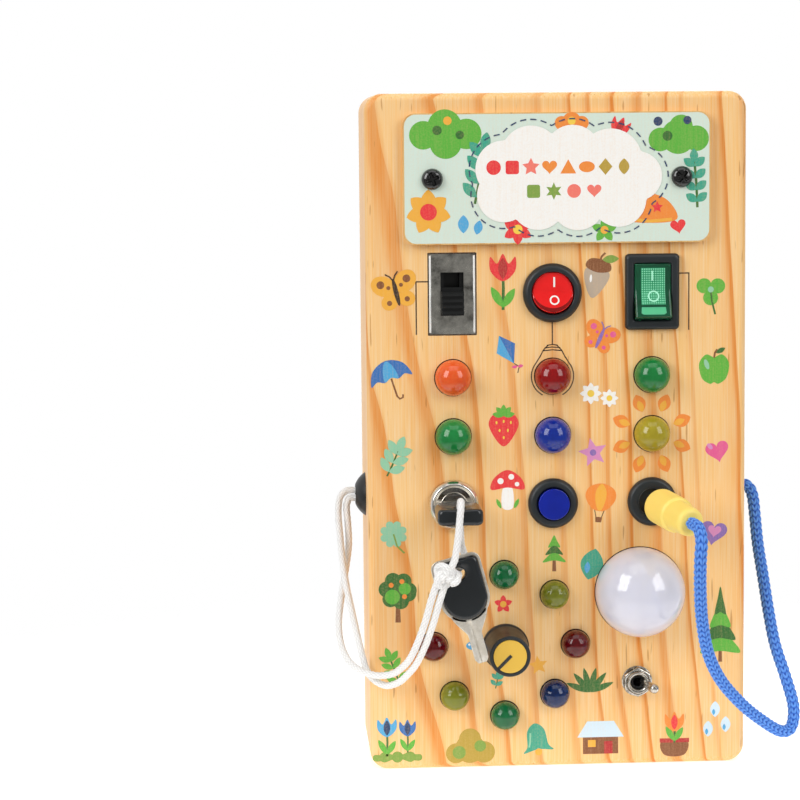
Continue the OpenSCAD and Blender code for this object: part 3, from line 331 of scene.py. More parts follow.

# %% [markdown]
# Each half of the white cord hangs between the board and the keys, and the blue cord between the board and
# the plug. The cords take the place of the imported model's solids for them and keep their shapes, and the
# strands of the knot move with the key hanger.


for cord, line in ((white_a, line_a), (white_b, line_b)):
    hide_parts("white_cord_board_end", "white_cord_key_end")
    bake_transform(cord)
for strand in knot_strands:
    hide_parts("white_cord_knot")
    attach(strand, "key_hanger")
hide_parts("white_cord_loop", "white_cord_eye")
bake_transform(white_loop)
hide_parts("blue_cord_board_end", "blue_cord_plug_end")
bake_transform(blue_cord)

# %% [markdown]
# ## Materials
# A colour is written as a hex value of the sRGB scale, as a paint chart gives it. Blender's shaders work
# on linear light, so one function turns the first into the second. One more function adds a node with
# its settings and links, and a pattern's scale comes from its real size in millimetres. Every finish
# below is a small function named for what the real surface is.

# %% Colours and nodes
def linear(code):
    """Turns a hex colour to linear light: c / 12.92 in the darks, else ((c + 0.055) / 1.055) ^ 2.4."""
    c = np.array([int(code[i:i + 2], 16) for i in (1, 3, 5)]) / 255
    c = np.where(c < 0.04045, c / 12.92, ((c + 0.055) / 1.055) ** 2.4)
    return (*c.tolist(), 1.0)


def feed(node, inputs):
    """Fills a node's sockets. Each takes a value, a hex colour, another node's output, or another node:
    then its first output is meant, or the third of a mix, which is the one for colours."""
    for socket, value in inputs.items():
        if isinstance(value, bpy.types.Node):
            value = value.outputs[2 if value.bl_idname == "ShaderNodeMix" else 0]
        if isinstance(value, bpy.types.NodeSocket):
            node.id_data.links.new(value, node.inputs[socket])
        else:
            node.inputs[socket].default_value = linear(value) if isinstance(value, str) else value


def add(owner, kind, inputs=None, stops=None, **settings):
    """Adds a node to a material or the world. settings are its own choices, inputs its sockets, and
    stops gives a colour ramp its places and its colours or greys."""
    node = owner.node_tree.nodes.new(kind)
    for key, value in settings.items():
        setattr(node, key, value)
    feed(node, inputs or {})
    if stops:
        ramp = node.color_ramp
        while len(ramp.elements) < len(stops):
            ramp.elements.new(0.5)
        for element, (where, tone) in zip(ramp.elements, stops):
            element.position = where
            element.color = linear(tone) if isinstance(tone, str) else (tone, tone, tone, 1)
    return node


def started(name, **sockets):
    """A new material, its shader with the values that are the same all over, a way to add nodes to it,
    and the place on the object, from which every pattern starts."""
    material = bpy.data.materials.new(name)
    material.use_nodes = True
    shader = material.node_tree.nodes["Principled BSDF"]
    feed(shader, {key.replace("_", " "): value for key, value in sockets.items()})
    put = functools.partial(add, material)
    return material, shader, put, put("ShaderNodeTexCoord").outputs["Object"]


def per_mm(size_mm):
    """The scale of a pattern whose features are size_mm apart, on coordinates in metres."""
    return 1 / (size_mm * MM)


def roughen(put, shader, where, size_mm, detail, strength, depth_mm):
    """Fine unevenness: a noise whose features are size_mm apart, pressed depth_mm deep."""
    fine = put("ShaderNodeTexNoise", {"Vector": where, "Scale": per_mm(size_mm), "Detail": detail})
    feed(shader, {"Normal": put("ShaderNodeBump", {"Height": fine, "Strength": strength,
                                                   "Distance": depth_mm * MM})})


# %% [markdown]
# Pine that has been planed, sanded and given a thin clear varnish. A tree adds one ring a year: pale
# early wood and then a narrow orange-brown line of late wood, which ends suddenly. The block is cut from
# beside the pith, so the rings are arcs about an axis that lies behind the board's left edge and leans
# a little. They run as wide bands at the left, where the cut is flat to them, and as lines at the right.
# The pattern is three-dimensional, so the same rings turn over the edges onto the sides and the top.

# %% Varnished pine
PITH_X, PITH_Y, WAVE_PUSH = -48 * MM, 30 * MM, 11 * MM
RING_MM, FIBRE_MM, CANAL_MM = 6.0, (0.4, 0.4, 26), (0.9, 0.9, 9)
WAVE_MM, PATCH_MM = (1000 / 22, 1000 / 22, 1000 / 7), (1000 / 60, 1000 / 60, 1000 / 9)


def varnished_pine(name="varnished_pine", pale="#F9D9AA", early="#F0CA96", late="#DF974B", dark="#B4783B",
                   roughness=0.42):
    """Sawn pine under clear varnish: ring = (distance from the pith axis + slow waves) / ring width."""
    material, shader, put, where = started(name, Roughness=roughness, Specular_IOR_Level=0.2,
                                           Coat_Weight=0.04, Coat_Roughness=0.3)
    wave, fibre, patch, canal = (
        put("ShaderNodeTexNoise", {
            "Vector": put("ShaderNodeMapping", {"Vector": where, "Scale": [per_mm(size) for size in sizes]}),
            "Scale": 1.0, "Detail": detail, "Roughness": broken})
        for sizes, detail, broken in ((WAVE_MM, 2.0, 0.5), (FIBRE_MM, 3.0, 0.6), (PATCH_MM, 1.0, 0.5),
                                      (CANAL_MM, 0.0, 0.5)))
    centred = put("ShaderNodeVectorMath", {0: wave.outputs["Color"], 1: (0.5, 0.5, 0.5)},
                  operation="SUBTRACT")
    pushed = put("ShaderNodeVectorMath", {0: centred, 1: (WAVE_PUSH, WAVE_PUSH, 0)}, operation="MULTIPLY")
    moved = put("ShaderNodeVectorMath", {0: where, 1: pushed}, operation="ADD")
    about_pith = put("ShaderNodeMapping", {"Vector": moved, "Location": (-PITH_X, -PITH_Y, 0),
                                           "Rotation": (0.03, 0.055, 0)})
    flat = put("ShaderNodeVectorMath", {0: about_pith, 1: (1, 1, 0)}, operation="MULTIPLY")
    radius = put("ShaderNodeVectorMath", {0: flat}, operation="LENGTH").outputs["Value"]
    even = put("ShaderNodeMath", {0: radius, 1: per_mm(RING_MM)}, operation="MULTIPLY")
    pace = put("ShaderNodeMath", {0: even, 1: 0.43}, operation="MULTIPLY")
    season = put("ShaderNodeTexNoise", {"W": pace, "Scale": 1.0, "Detail": 1.0}, noise_dimensions="1D")
    count = put("ShaderNodeMath", {0: season, 1: 1.7, 2: even}, operation="MULTIPLY_ADD")
    ring = put("ShaderNodeMath", {0: count}, operation="FRACT")
    year = put("ShaderNodeMath", {0: count}, operation="FLOOR")
    luck = put("ShaderNodeTexWhiteNoise", {"W": year}, noise_dimensions="1D")
    strength = put("ShaderNodeMapRange", {"Value": luck, "To Min": 0.35, "To Max": 1.0})
    band = put("ShaderNodeValToRGB", {"Fac": ring},
               stops=[(0.0, 0.35), (0.06, 0.0), (0.5, 0.05), (0.76, 0.3), (0.9, 1.0), (0.97, 0.95)])
    band_in = put("ShaderNodeMath", {0: band, 1: strength}, operation="MULTIPLY")
    wood = put("ShaderNodeMix", {"Factor": patch, 6: pale, 7: early}, data_type="RGBA")
    ringed = put("ShaderNodeMix", {"Factor": band_in, 6: wood, 7: late}, data_type="RGBA")
    streak = put("ShaderNodeValToRGB", {"Fac": fibre}, stops=[(0.3, 0.0), (0.75, 1.0)])
    toned = put("ShaderNodeMix", {"Factor": streak, 6: ringed, 7: dark}, data_type="RGBA",
                blend_type="SOFT_LIGHT")
    canals = put("ShaderNodeValToRGB", {"Fac": canal}, stops=[(0.765, 0.0), (0.80, 0.6)])
    bump = put("ShaderNodeBump", {"Height": fibre, "Strength": 0.12, "Distance": 0.06 * MM})
    final = put("ShaderNodeMix", {"Factor": canals, 6: toned, 7: dark}, data_type="RGBA")
    feed(shader, {"Base Color": final, "Normal": bump})
    return material


PINE = varnished_pine()

# %% [markdown]
# ## Surfaces for the fittings
# Most fittings are round about an axis that stands out of the wood, so they are turned: a profile of
# radius and height is carried round a circle. No moulded or stamped edge is sharp, so every corner of a
# profile is eased with a small curve, and that curve is what catches the light.

# %% Turned and lofted surfaces


def rounded(corners, radius=0.4, steps=5):
    """A line of corners with each inner one eased: (1-t)^2 a + 2t(1-t) b + t^2 c from a to c round b."""
    corners = [np.array(c, float) for c in corners]
    made = [corners[0][None]]
    t = np.linspace(0, 1, steps)[:, None]
    for before, here, after in zip(corners, corners[1:], corners[2:]):
        back, ahead = before - here, after - here
        far = min(radius, 0.45 * np.linalg.norm(back), 0.45 * np.linalg.norm(ahead))
        a = here + back / np.linalg.norm(back) * far
        c = here + ahead / np.linalg.norm(ahead) * far
        made.append((1 - t) ** 2 * a + 2 * t * (1 - t) * here + t**2 * c)
    made.append(corners[-1][None])
    return np.vstack(made)


def shell(name, grid, joined=False):
    """A closed surface from a grid (rows, around, 3). A ring that has shrunk to a point is kept once, an
    open end ring gets a flat face, and joined ties the last ring to the first."""
    rows, around = grid.shape[:2]
    index = np.arange(rows * around).reshape(rows, around)
    ends = []
    if joined:
        index = np.vstack([index, index[:1]])
    else:
        for row in (0, rows - 1):
            if np.ptp(grid[row], axis=0).max() < 1e-5:
                index[row] = index[row, 0]
            else:
                ends.append(index[row].tolist())
    faces = [list(dict.fromkeys(quad)) for quad in quads(index).tolist()] + ends
    used = np.unique(np.concatenate([np.ravel(face) for face in faces]))
    renumber = np.zeros(rows * around, int)
    renumber[used] = np.arange(len(used))
    faces = [renumber[face].tolist() for face in faces]
    obj = mesh_object(name, grid.reshape(-1, 3)[used], faces)
    normals = obj.modifiers.new("even_shading", "WEIGHTED_NORMAL")
    normals.keep_sharp = True
    return obj


def from_wood(x, z, right, out, up):
    """A point right of and above the place (x, z) on the wood's face, and out of it, in millimetres."""
    return np.stack(np.broadcast_arrays(x + right, FRONT - out, z + up), axis=-1)


def turned(name, at, profile, around=72, joined=False):
    """A surface of revolution: (r cos a, height, r sin a) for each (r, height) of the profile."""
    r, height = np.asarray(profile, float).T[:, :, None]
    a = 2 * np.pi * np.arange(around)[None, :] / around
    return shell(name, from_wood(*at, r * np.cos(a), height, r * np.sin(a)), joined)


def capped(profile, low, high):
    """A profile that starts and ends on the axis, at the heights low and high."""
    return np.vstack([[(0, low)], profile, [(0, high)]])


def round_box(w, h, r, steps=8):
    """The outline of a w by h rectangle whose corners are arcs of radius r, as points (right, up)."""
    a = np.linspace(0, np.pi / 2, steps)
    quarter = np.stack([np.cos(a), np.sin(a)], axis=1) * r
    corners = []
    for q, across, up in zip(np.arange(4) * np.pi / 2, (1, -1, -1, 1), (1, 1, -1, -1)):
        turn = np.array([[math.cos(q), math.sin(q)], [-math.sin(q), math.cos(q)]])
        corners.append(quarter @ turn + (across * (w / 2 - r), up * (h / 2 - r)))
    return np.vstack(corners)


def dress(obj, material, body="root", nodes=()):
    """Gives a piece its finish, the body that it moves with and the solids that it stands for."""
    obj.data.materials.append(material)
    if nodes:
        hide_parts(*nodes)
    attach(obj, body)
    return obj


# %% [markdown]
# ## Finishes
# Each finish states what the real surface is. Moulded plastic has a fine grain that breaks its gloss, a
# nickel plate has a cloudy, slightly worn mirror, and painted or printed wood lets its pores show through.

# %% Finishes
def plastic(name, colour, roughness=0.35, coat=0.0, grain=0.02, grain_mm=0.25, **more):
    """Moulded plastic: one colour, with a little unevenness in its gloss and a fine moulded grain."""
    material, shader, put, where = started(name, Base_Color=colour, Coat_Weight=coat, Coat_Roughness=0.08,
                                           **more)
    cloud = put("ShaderNodeTexNoise", {"Vector": where, "Scale": per_mm(4), "Detail": 3.0})
    gloss = put("ShaderNodeMapRange", {"Value": cloud, "To Min": roughness * 0.8,
                                       "To Max": min(1.0, roughness * 1.25)})
    feed(shader, {"Roughness": gloss})
    roughen(put, shader, where, grain_mm, 2.0, 0.5, grain)
    return material


def metal(name, colour, roughness=0.22, cloud_mm=3.0, dark=None, spread=0.5):
    """Plated or bare metal: a mirror of its own colour, clouded by handling and fine scratches."""
    material, shader, put, where = started(name, Metallic=1.0)
    cloud = put("ShaderNodeTexNoise", {"Vector": where, "Scale": per_mm(cloud_mm), "Detail": 5.0,
                                       "Roughness": 0.65})
    patchy = put("ShaderNodeMapRange", {"Value": cloud, "From Min": 0.36, "From Max": 0.64})
    tone = put("ShaderNodeMix", {"Factor": patchy, 6: colour, 7: dark or colour}, data_type="RGBA")
    gloss = put("ShaderNodeMapRange", {"Value": cloud, "From Min": 0.3, "From Max": 0.7,
                                       "To Min": roughness * (1 - spread),
                                       "To Max": roughness * (1 + spread)})
    feed(shader, {"Base Color": tone, "Roughness": gloss})
    roughen(put, shader, where, 0.3, 2.0, 0.25, 0.012)
    return material


def lens(name, colour, deep):
    """Tinted clear plastic over a dark body: light scatters a millimetre or two inside it, so its colour
    is full, and a clear polished skin gives the highlights."""
    material, shader, put, where = started(
        name, Subsurface_Weight=0.6, Subsurface_Radius=(1.0, 1.0, 1.0), Subsurface_Scale=1.0 * MM,
        Roughness=0.1, Specular_IOR_Level=0.3, Coat_Weight=0.45, Coat_Roughness=0.04)
    cloud = put("ShaderNodeTexNoise", {"Vector": where, "Scale": per_mm(6), "Detail": 1.0})
    feed(shader, {"Base Color": put("ShaderNodeMix", {"Factor": cloud, 6: colour, 7: deep},
                                    data_type="RGBA")})
    return material


def yarn(name, light, shade, hole):
    """Cord: its colour darkens from the threads toward the gaps as painted shade, and fine fibres roughen
    each thread.
    """
    material, shader, put, where = started(name, Roughness=0.75, Sheen_Weight=0.25, Sheen_Roughness=0.4)
    relief = put("ShaderNodeAttribute", attribute_name="relief").outputs["Fac"]
    feed(shader, {"Base Color": put("ShaderNodeValToRGB", {"Fac": relief},
                                    stops=[(0.0, hole), (0.4, shade), (0.85, light)])})
    roughen(put, shader, where, 0.22, 3.0, 0.35, 0.05)
    return material


BLACK = plastic("black_moulded", "#1B2124", 0.42, grain=0.03)
BLACK_GLOSS = plastic("black_polished", "#1C2023", 0.2, grain=0.01)
CHROME = metal("chrome", "#F0EEEA", 0.17, dark="#CFCCC4")
NICKEL = metal("dull_nickel", "#D6D4CC", 0.34, cloud_mm=6.0, dark="#504F4B")
PLATED = metal("bright_nickel", "#DAD7D0", 0.2, cloud_mm=1.5, dark="#8E8A82")
STEEL = metal("key_steel", "#EFEAE0", 0.42, cloud_mm=2.5, dark="#D2CBBE", spread=0.25)
ZINC = metal("zinc_plate", "#C9CCCB", 0.3, dark="#A8AAA6")
BLACK_METAL = plastic("black_enamel", "#060708", 0.16, coat=0.6, grain=0.008)
# Black of the slider and of the toggle's boot. On the slide switch's base, brown on the real part, this
# near-black is painted shade of the slot, and on the slider it is partly painted shade.
BLACK_AND_SLOT_SHADE = plastic("black_slider_and_slot_shade", "#07090A", 0.4, grain=0.01)
# Each cord's two darker colours are painted shade toward the gaps between its threads.
BRAID = yarn("white_braid", "#F6F6F5", "#E6E5E4", "#BFBEBB")
KNIT = yarn("blue_knit", "#5D98EC", "#2F6ACE", "#0F3585")
YELLOW = plastic("yellow_plug", "#FBDF74", 0.38, grain=0.02, Subsurface_Weight=0.15,
                 Subsurface_Radius=(1.0, 0.7, 0.3), Subsurface_Scale=1.5 * MM)
for obj in (white_a, white_b, white_loop, *knot_strands):
    obj.data.materials.append(BRAID)
blue_cord.data.materials.append(KNIT)

# %% [markdown]
# ## Lamps
# Every lamp is a coloured plastic dome pushed through a hole from behind. A dark gap shows round it, because
# the hole is a little wider than the lamp; its shade is painted as a thin dark ring on the wood. One profile
# serves both sizes: a straight wall that turns into part of a sphere.

# %% Lamps
LARGE = {"lamp_orange": ("#E8662C", "#D5531F"), "lamp_red": ("#9C060A", "#780306"),
         "lamp_green": ("#1E8A43", "#0F6E33"), "lamp_lower_green": ("#219047", "#117236"),
         "lamp_blue": ("#1136A6", "#08227C"), "lamp_yellow": ("#B4A42E", "#978A1E")}
SMALL = {"ring_lamps_green": ("#157442", "#0A5830"), "ring_lamps_yellow": ("#868A22", "#686E18"),
         "ring_lamps_red": ("#66000A", "#440006"), "ring_lamps_blue": ("#082C66", "#041C4A")}
LARGE_R, LARGE_OUT, SMALL_R, SMALL_OUT = 5.0, 6.0, 4.0, 5.0
# The colour of the painted shade in the gaps round the lamps and the dome.
PAINTED_HOLE_SHADE = plastic("hole_shadow", "#2A1A10", 0.9)


def dome_profile(radius, proud):
    """A wall of radius r up to the height p - r, then (r cos a, p - r + r sin a) to the top."""
    a = np.linspace(0, np.pi / 2, 22)
    top = np.stack([radius * np.cos(a), proud - radius + radius * np.sin(a)], axis=1)
    top[-1, 0] = 0
    return np.vstack([[[0, -1.2], [radius, -1.2], [radius, -0.6]], top])


def painted_gap_shade(name, at, radius, width=0.22):
    """Painted shade of the gap round a drilled hole: a thin dark turned ring that lies on the wood round a
    fitting.
    """
    profile = rounded([(radius - 0.05, 0.0), (radius + width, 0.0), (radius + width, 0.03),
                       (radius - 0.05, 0.03)], 0.01, 2)
    return dress(turned(name, at, profile, joined=True), PAINTED_HOLE_SHADE)


for node, (colour, deep) in LARGE.items():
    lamp = turned("dome_of_" + node, place(node), dome_profile(LARGE_R, LARGE_OUT))
    dress(lamp, lens("tint_" + node, colour, deep), "root", (node,))
    painted_gap_shade("gap_shade_of_" + node, place(node), LARGE_R)
RING_AT = place("ring_lamps_green")
RING_R = 20.0
for turn, node in enumerate(SMALL):
    tint = lens("tint_" + node, *SMALL[node])
    for half in (0, 1):
        a = math.radians(45 * (turn + 4 * half))
        at = (RING_AT[0] + RING_R * math.sin(a), RING_AT[1] + RING_R * math.cos(a))
        dome = turned("%s_dome_%d" % (node, half + 1), at, dome_profile(SMALL_R, SMALL_OUT), 60)
        dress(dome, tint, "root", (node,))
        painted_gap_shade("%s_hole_%d" % (node, half + 1), at, SMALL_R)
print("ring centre:", np.round(RING_AT, 2))

# %% [markdown]
# ## Switches
# The slide switch shows a bent nickel frame whose two long edges are rolled back; their shine is a painted
# highlight, thin strips of near-white plastic along the edges. The round rocker has a turned black rim, and
# the square one a moulded frame. Their buttons share one form: two faces that meet in a shallow valley over
# the hinge, so one end is in when the other is out.

# %% Rims of the switches
SLIDE_AT, RED_AT, GREEN_AT = (place(node) for node in (
    "slide_switch_frame", "red_rocker_housing", "green_rocker_housing"))
SLIDE_W, SLIDE_H = 12.8, 22.2
ROUND_RIM, ROUND_HOLE, RIM_OUT = 8.2, 5.95, 2.2
rim = rounded([(ROUND_HOLE, -5.8), (ROUND_HOLE, RIM_OUT - 0.25), (ROUND_HOLE + 0.25, RIM_OUT),
               (ROUND_RIM - 0.9, RIM_OUT - 0.1), (ROUND_RIM, 0.9), (ROUND_RIM, 0)], 0.7)
rim = np.vstack([[(ROUND_HOLE - 0.2, -6.2)], rim])
dress(turned("round_rocker_rim", RED_AT, capped(rim, -6.2, 0), 96), BLACK, "root", ("red_rocker_housing",))
SQUARE_W, SQUARE_H, SQUARE_T, WINDOW_W, WINDOW_H = 15.1, 21.1, 1.9, 10.3, 15.8
edge = (SQUARE_W - WINDOW_W) / 2
rings = []
for inset, out in rounded([(0, 0), (0, SQUARE_T - 0.7), (0.6, SQUARE_T), (edge - 0.35, SQUARE_T),
                           (edge, SQUARE_T - 0.35), (edge, -7)], 0.45):
    part = inset / edge
    outline = round_box(SQUARE_W - 2 * inset, SQUARE_H + part * (WINDOW_H - SQUARE_H),
                        max(1.2 * (1 - part), 0.5))
    rings.append(from_wood(*GREEN_AT, outline[:, 0], out, outline[:, 1]))
square_rim = shell("square_rocker_frame", np.array(rings))
dress(square_rim, BLACK, "root", ("green_rocker_housing",))
ROLL_R, ROLL_HALF = 0.3, SLIDE_H / 2 - 0.4
# The rolled edges' shine is a painted highlight: near-white plastic in the place of nickel.
ROLL_PAINTED_HIGHLIGHT = plastic("nickel_roll_painted_highlight", "#F0F0ED", 0.3, coat=0.4, grain=0.005)
for side, name in ((-1, "left"), (1, "right")):
    line = through([(SLIDE_AT[0] + side * (SLIDE_W / 2 - ROLL_R), FRONT, SLIDE_AT[1] + up)
                    for up in (-ROLL_HALF, 0, ROLL_HALF)], 1.0)
    roll = tube("slide_switch_roll_" + name, line, ROLL_R * np.ones((len(line), 14)), 14)
    dress(roll, ROLL_PAINTED_HIGHLIGHT, "root")

# %% [markdown]
# A rocker button in its own frame, with its hinge at the origin: at a distance v along it the face lies
# at the height valley + |v| tan(rock), but never outside the circle of the radius on which its end
# swings. The whole is then turned by the rock angle about the hinge, which pushes its upper end in.

# %% Rocker buttons
ROCK, HINGE_OUT = math.radians(10), 0.5


def rocked(at, x, height, v):
    """Turns a point of the button about its hinge: height' = h cos a - v sin a, up = v cos a + h sin a."""
    out = height * math.cos(ROCK) - v * math.sin(ROCK)
    up = v * math.cos(ROCK) + height * math.sin(ROCK)
    return from_wood(at[0], at[1], x, HINGE_OUT + out, up)


def face_height(v, valley, soften=0.5):
    """The height of the face: the V with its valley eased, sqrt(v^2 + soften^2) in the place of |v|."""
    return valley + (np.sqrt(v * v + soften * soften) - soften) * math.tan(ROCK)


def rocker_button(name, at, swing, valley, half_width, corner=0.5):
    """A button lofted along v. Each section is a box as wide as the button there, with eased shoulders."""
    v = swing * np.sin(np.linspace(-np.pi / 2, np.pi / 2, 61))
    top = np.minimum(face_height(v, valley), np.sqrt(np.maximum(swing**2 - v**2, 0)))
    wide = np.maximum(half_width(v), 0.02)
    e = np.linspace(0, np.pi / 2, 6)
    ease = np.minimum(corner, 0.45 * wide)[:, None]
    wide, top, low = wide[:, None], top[:, None], np.full((len(v), 1), -4.0)
    x = np.hstack([-wide, -wide + ease * (1 - np.cos(e)), wide - ease * (1 - np.cos(e[::-1])), wide])
    h = np.hstack([low, top - ease * (1 - np.sin(e)), top - ease * (1 - np.sin(e[::-1])), low])
    h = np.maximum(h, low)
    return shell(name, rocked(at, x, h, np.repeat(v[:, None], x.shape[1], axis=1)))


RED_R, RED_VALLEY, GREEN_HALF, GREEN_SWING, GREEN_VALLEY = 5.75, 1.0, 5.1, 7.85, 1.6
red_button = rocker_button("red_rocker_button", RED_AT, RED_R, RED_VALLEY,
                           lambda v: np.sqrt(RED_R**2 - v**2 + 1e-4), 0.45)
RED = lens("red_rocker_plastic", "#F52222", "#DE1517")
dress(red_button, RED, "red_paddle", ("red_rocker_paddle",))
GREEN = lens("green_rocker_plastic", "#136040", "#093823")
green_button = rocker_button("green_rocker_button", GREEN_AT, GREEN_SWING, GREEN_VALLEY,
                             lambda v: GREEN_HALF + 0 * v, 0.7)
dress(green_button, GREEN, "green_paddle", ("green_rocker_paddle",))

# %% [markdown]
# A rocker carries a line for on and a ring for off, printed on its two faces. The green one is clear over a
# lit window: a paler panel that is moulded with rows of small lenses. Below the window, the bevel's pale
# green is painted light coming through the clear edge, and on the red button a dark red crescent at the lower
# end is painted shade on the side of the raised end. The marks are flat outlines that are carried onto the
# face by the same formula as the button.

# %% Marks of the rockers


def on_button(name, at, valley, body, material, outlines, lift):
    """Flat outlines (across, along) that lie on a rocker's face, each at the face's height plus lift."""
    flat = [np.asarray(outline, float).T for outline in outlines]
    placed = [rocked(at, x, face_height(v, valley) + lift, v) for x, v in flat]
    return dress(sheets(name, placed), material, body)


def upright(x, low, high, width):
    """The line for on: a thin box."""
    return [(x - width / 2, low), (x + width / 2, low), (x + width / 2, high), (x - width / 2, high)]


def arc(x, v, radius, start, end, count=24):
    """Points of an arc about (x, v), between two angles in degrees."""
    a = np.radians(np.linspace(start, end, count))
    return np.stack([x + radius * np.cos(a), v + radius * np.sin(a)], axis=1)


def off_ring(x, v, radius, width):
    """The ring for off, as two half bands: an outer arc and the inner one back."""
    return [np.vstack([arc(x, v, radius, s, s + 180), arc(x, v, radius - width, s + 180, s)])
            for s in (0, 180)]


MARK = plastic("white_mark", "#F4F1EC", 0.45)
GREEN_MARK = plastic("pale_green_mark", "#A5EBCB", 0.4)
on_button("red_rocker_marks", RED_AT, RED_VALLEY, "red_paddle", MARK,
          [upright(0.4, 1.5, 4.2, 0.5), *off_ring(0.4, -2.2, 1.35, 0.42)], 0.03)
# A dark red crescent at the button's lower end is painted shade on the side of the raised end.
shade_crescent = np.vstack([arc(0, 0, 5.55, 198, 342), arc(0, 1.25, 5.7, 334, 206)])
on_button("red_rocker_painted_shade", RED_AT, RED_VALLEY, "red_paddle",
          lens("red_rocker_shade_paint", "#9A0E0C", "#6E0606"), [shade_crescent], 0.02)


def lit_window(name="lit_green_window"):
    """A window of small lenses: bright dots half a millimetre apart on a middle green."""
    material, shader, put, where = started(name, Roughness=0.25, Coat_Weight=0.3)
    turned_up = put("ShaderNodeMapping", {"Vector": where, "Rotation": (math.pi / 2, 0, 0)})
    cells = put("ShaderNodeTexVoronoi", {"Vector": turned_up, "Scale": per_mm(0.62), "Randomness": 0.0},
                voronoi_dimensions="2D")
    cloud = put("ShaderNodeTexNoise", {"Vector": where, "Scale": per_mm(5), "Detail": 1.0})
    ground = put("ShaderNodeMix", {"Factor": cloud, 6: "#177A4C", 7: "#3FA876"}, data_type="RGBA")
    dot = put("ShaderNodeMapRange", {"Value": cells, "From Min": 0.38, "From Max": 0.18})
    feed(shader, {"Base Color": put("ShaderNodeMix", {"Factor": dot, 6: ground, 7: "#8FE6BD"},
                                    data_type="RGBA")})
    return material


PANEL_HALF = 3.35
rows = np.linspace(-3.9, 6.3, 35)
window = [[(-PANEL_HALF, low), (PANEL_HALF, low), (PANEL_HALF, high), (-PANEL_HALF, high)]
          for low, high in zip(rows, rows[1:])]
on_button("green_rocker_window", GREEN_AT, GREEN_VALLEY, "green_paddle", lit_window(), window, 0.02)
on_button("green_rocker_marks", GREEN_AT, GREEN_VALLEY, "green_paddle", GREEN_MARK,
          [upright(-0.2, 2.8, 5.5, 0.45), *off_ring(0.1, -1.5, 1.6, 0.42)], 0.05)
# The bevel's pale green is painted light coming through the clear plastic's edge.
on_button("green_rocker_bevel", GREEN_AT, GREEN_VALLEY, "green_paddle",
          lens("green_bevel_painted_light", "#6FD0A0", "#43B07C"),
          [[(-3.5, -6.3), (-2.9, -6.7), (2.9, -6.7), (3.5, -6.3), (3.35, -4.6), (-3.35, -4.6)]], 0.02)

# %% [markdown]
# ## Screws of the plate
# Two black pan-head screws hold the plate. The driver's cross is cut into the head, so the head is a
# surface over rings and angles: a low dome, less the depth of two crossed slots with sloping walls.

# %% Pan-head screws
HEAD_R, HEAD_H, SHANK_R, SHANK_L, PLATE_T, SCREW_SIDE = 2.95, 1.9, 1.4, 4.5, 2.0, 34.5
CROSS_DEPTH, CROSS_LONG, CROSS_SHORT = 1.3, (1.7, 0.5), (0.42, 0.25)
PLATE_AT = place("name_plate")


def step_down(distance, half, slope):
    """One inside the half width, nought outside it, and a straight slope between."""
    return np.clip((half - np.abs(distance)) / slope + 0.5, 0, 1)


def pan_head(name, at, base, turn):
    """Height h sqrt(1 - (r/R)^3) over the base, less the depth of the cross in its two slots."""
    r = np.concatenate([np.linspace(0, 0.92, 40), np.sin(np.linspace(1.19, np.pi / 2, 8))]) * HEAD_R
    a = 2 * np.pi * np.arange(120)[None, :] / 120
    x, z = r[:, None] * np.cos(a - turn), r[:, None] * np.sin(a - turn)
    height = base + HEAD_H * np.sqrt(np.maximum(1 - (r[:, None] / HEAD_R) ** 3, 0))
    cross = np.maximum(step_down(x, *CROSS_SHORT) * step_down(z, *CROSS_LONG),
                       step_down(x, *CROSS_LONG) * step_down(z, *CROSS_SHORT))
    height = height - CROSS_DEPTH * cross
    head = from_wood(*at, r[:, None] * np.cos(a), height, r[:, None] * np.sin(a))
    lower = [(SHANK_R, base), (SHANK_R, base - SHANK_L - 1.5), (0, base - SHANK_L - PLATE_T)]
    shank = np.array([from_wood(*at, q * np.cos(a[0]), out, q * np.sin(a[0])) for q, out in lower])
    return shell(name, np.vstack([head, shank]))


for number, side in enumerate((-SCREW_SIDE, SCREW_SIDE)):
    screw = pan_head("plate_screw_%d" % (number + 1), (PLATE_AT[0] + side, PLATE_AT[1]), PLATE_T,
                     0.35 + 0.6 * number)
    dress(screw, BLACK_METAL, "root", ("name_plate_screws",))

# %% [markdown]
# ## Lock, button, socket and plug
# The lock's head is a chromed disc with a sunk ring and a turning cylinder in its middle. The push
# button is a blue cap in a black collar, and the socket next to it is a collar with a deep hole.

# %% Collars in the row of the lock
LOCK_AT, BUTTON_AT, SOCKET_AT = place("lock_body"), place("push_button_body"), place("socket_body")
BLUE_CAP = lens("blue_button_plastic", "#0623A4", "#041B88")
for name, at, low, line, ease, top, around, material, body, node, slot in (
        ("lock_head", LOCK_AT, -4,
         [(3.5, -4), (3.5, 2.0), (5.3, 2.0), (5.6, 2.6), (6.1, 2.6), (7.0, 1.5), (7.0, 0)], 0.35, 0, 96,
         CHROME, "root", "lock_body", "chrome_lock"),
        ("push_button_collar", BUTTON_AT, -6,
         [(4.5, -6), (4.5, 1.7), (4.8, 2.0), (6.2, 1.9), (7.0, 0.9), (7.0, 0)], 0.5, 0, 96,
         BLACK, "root", "push_button_body", "black_plastic"),
        ("push_button_top", BUTTON_AT, -2.6,
         [(4.35, -2.6), (4.35, 3.4), (3.9, 3.4), (0.9, 3.28)], 0.5, 3.26, 72,
         BLUE_CAP, "button_cap", "push_button_cap", "blue_button"),
        ("socket_collar", SOCKET_AT, -9,
         [(3.8, -9), (3.8, 1.6), (4.2, 2.0), (6.1, 1.9), (6.85, 0.9), (6.85, 0)], 0.5, 0, 96,
         BLACK, "root", "socket_body", "black_plastic")):
    dress(turned(name, at, capped(rounded(line, ease), low, top), around), material, body, (node,))

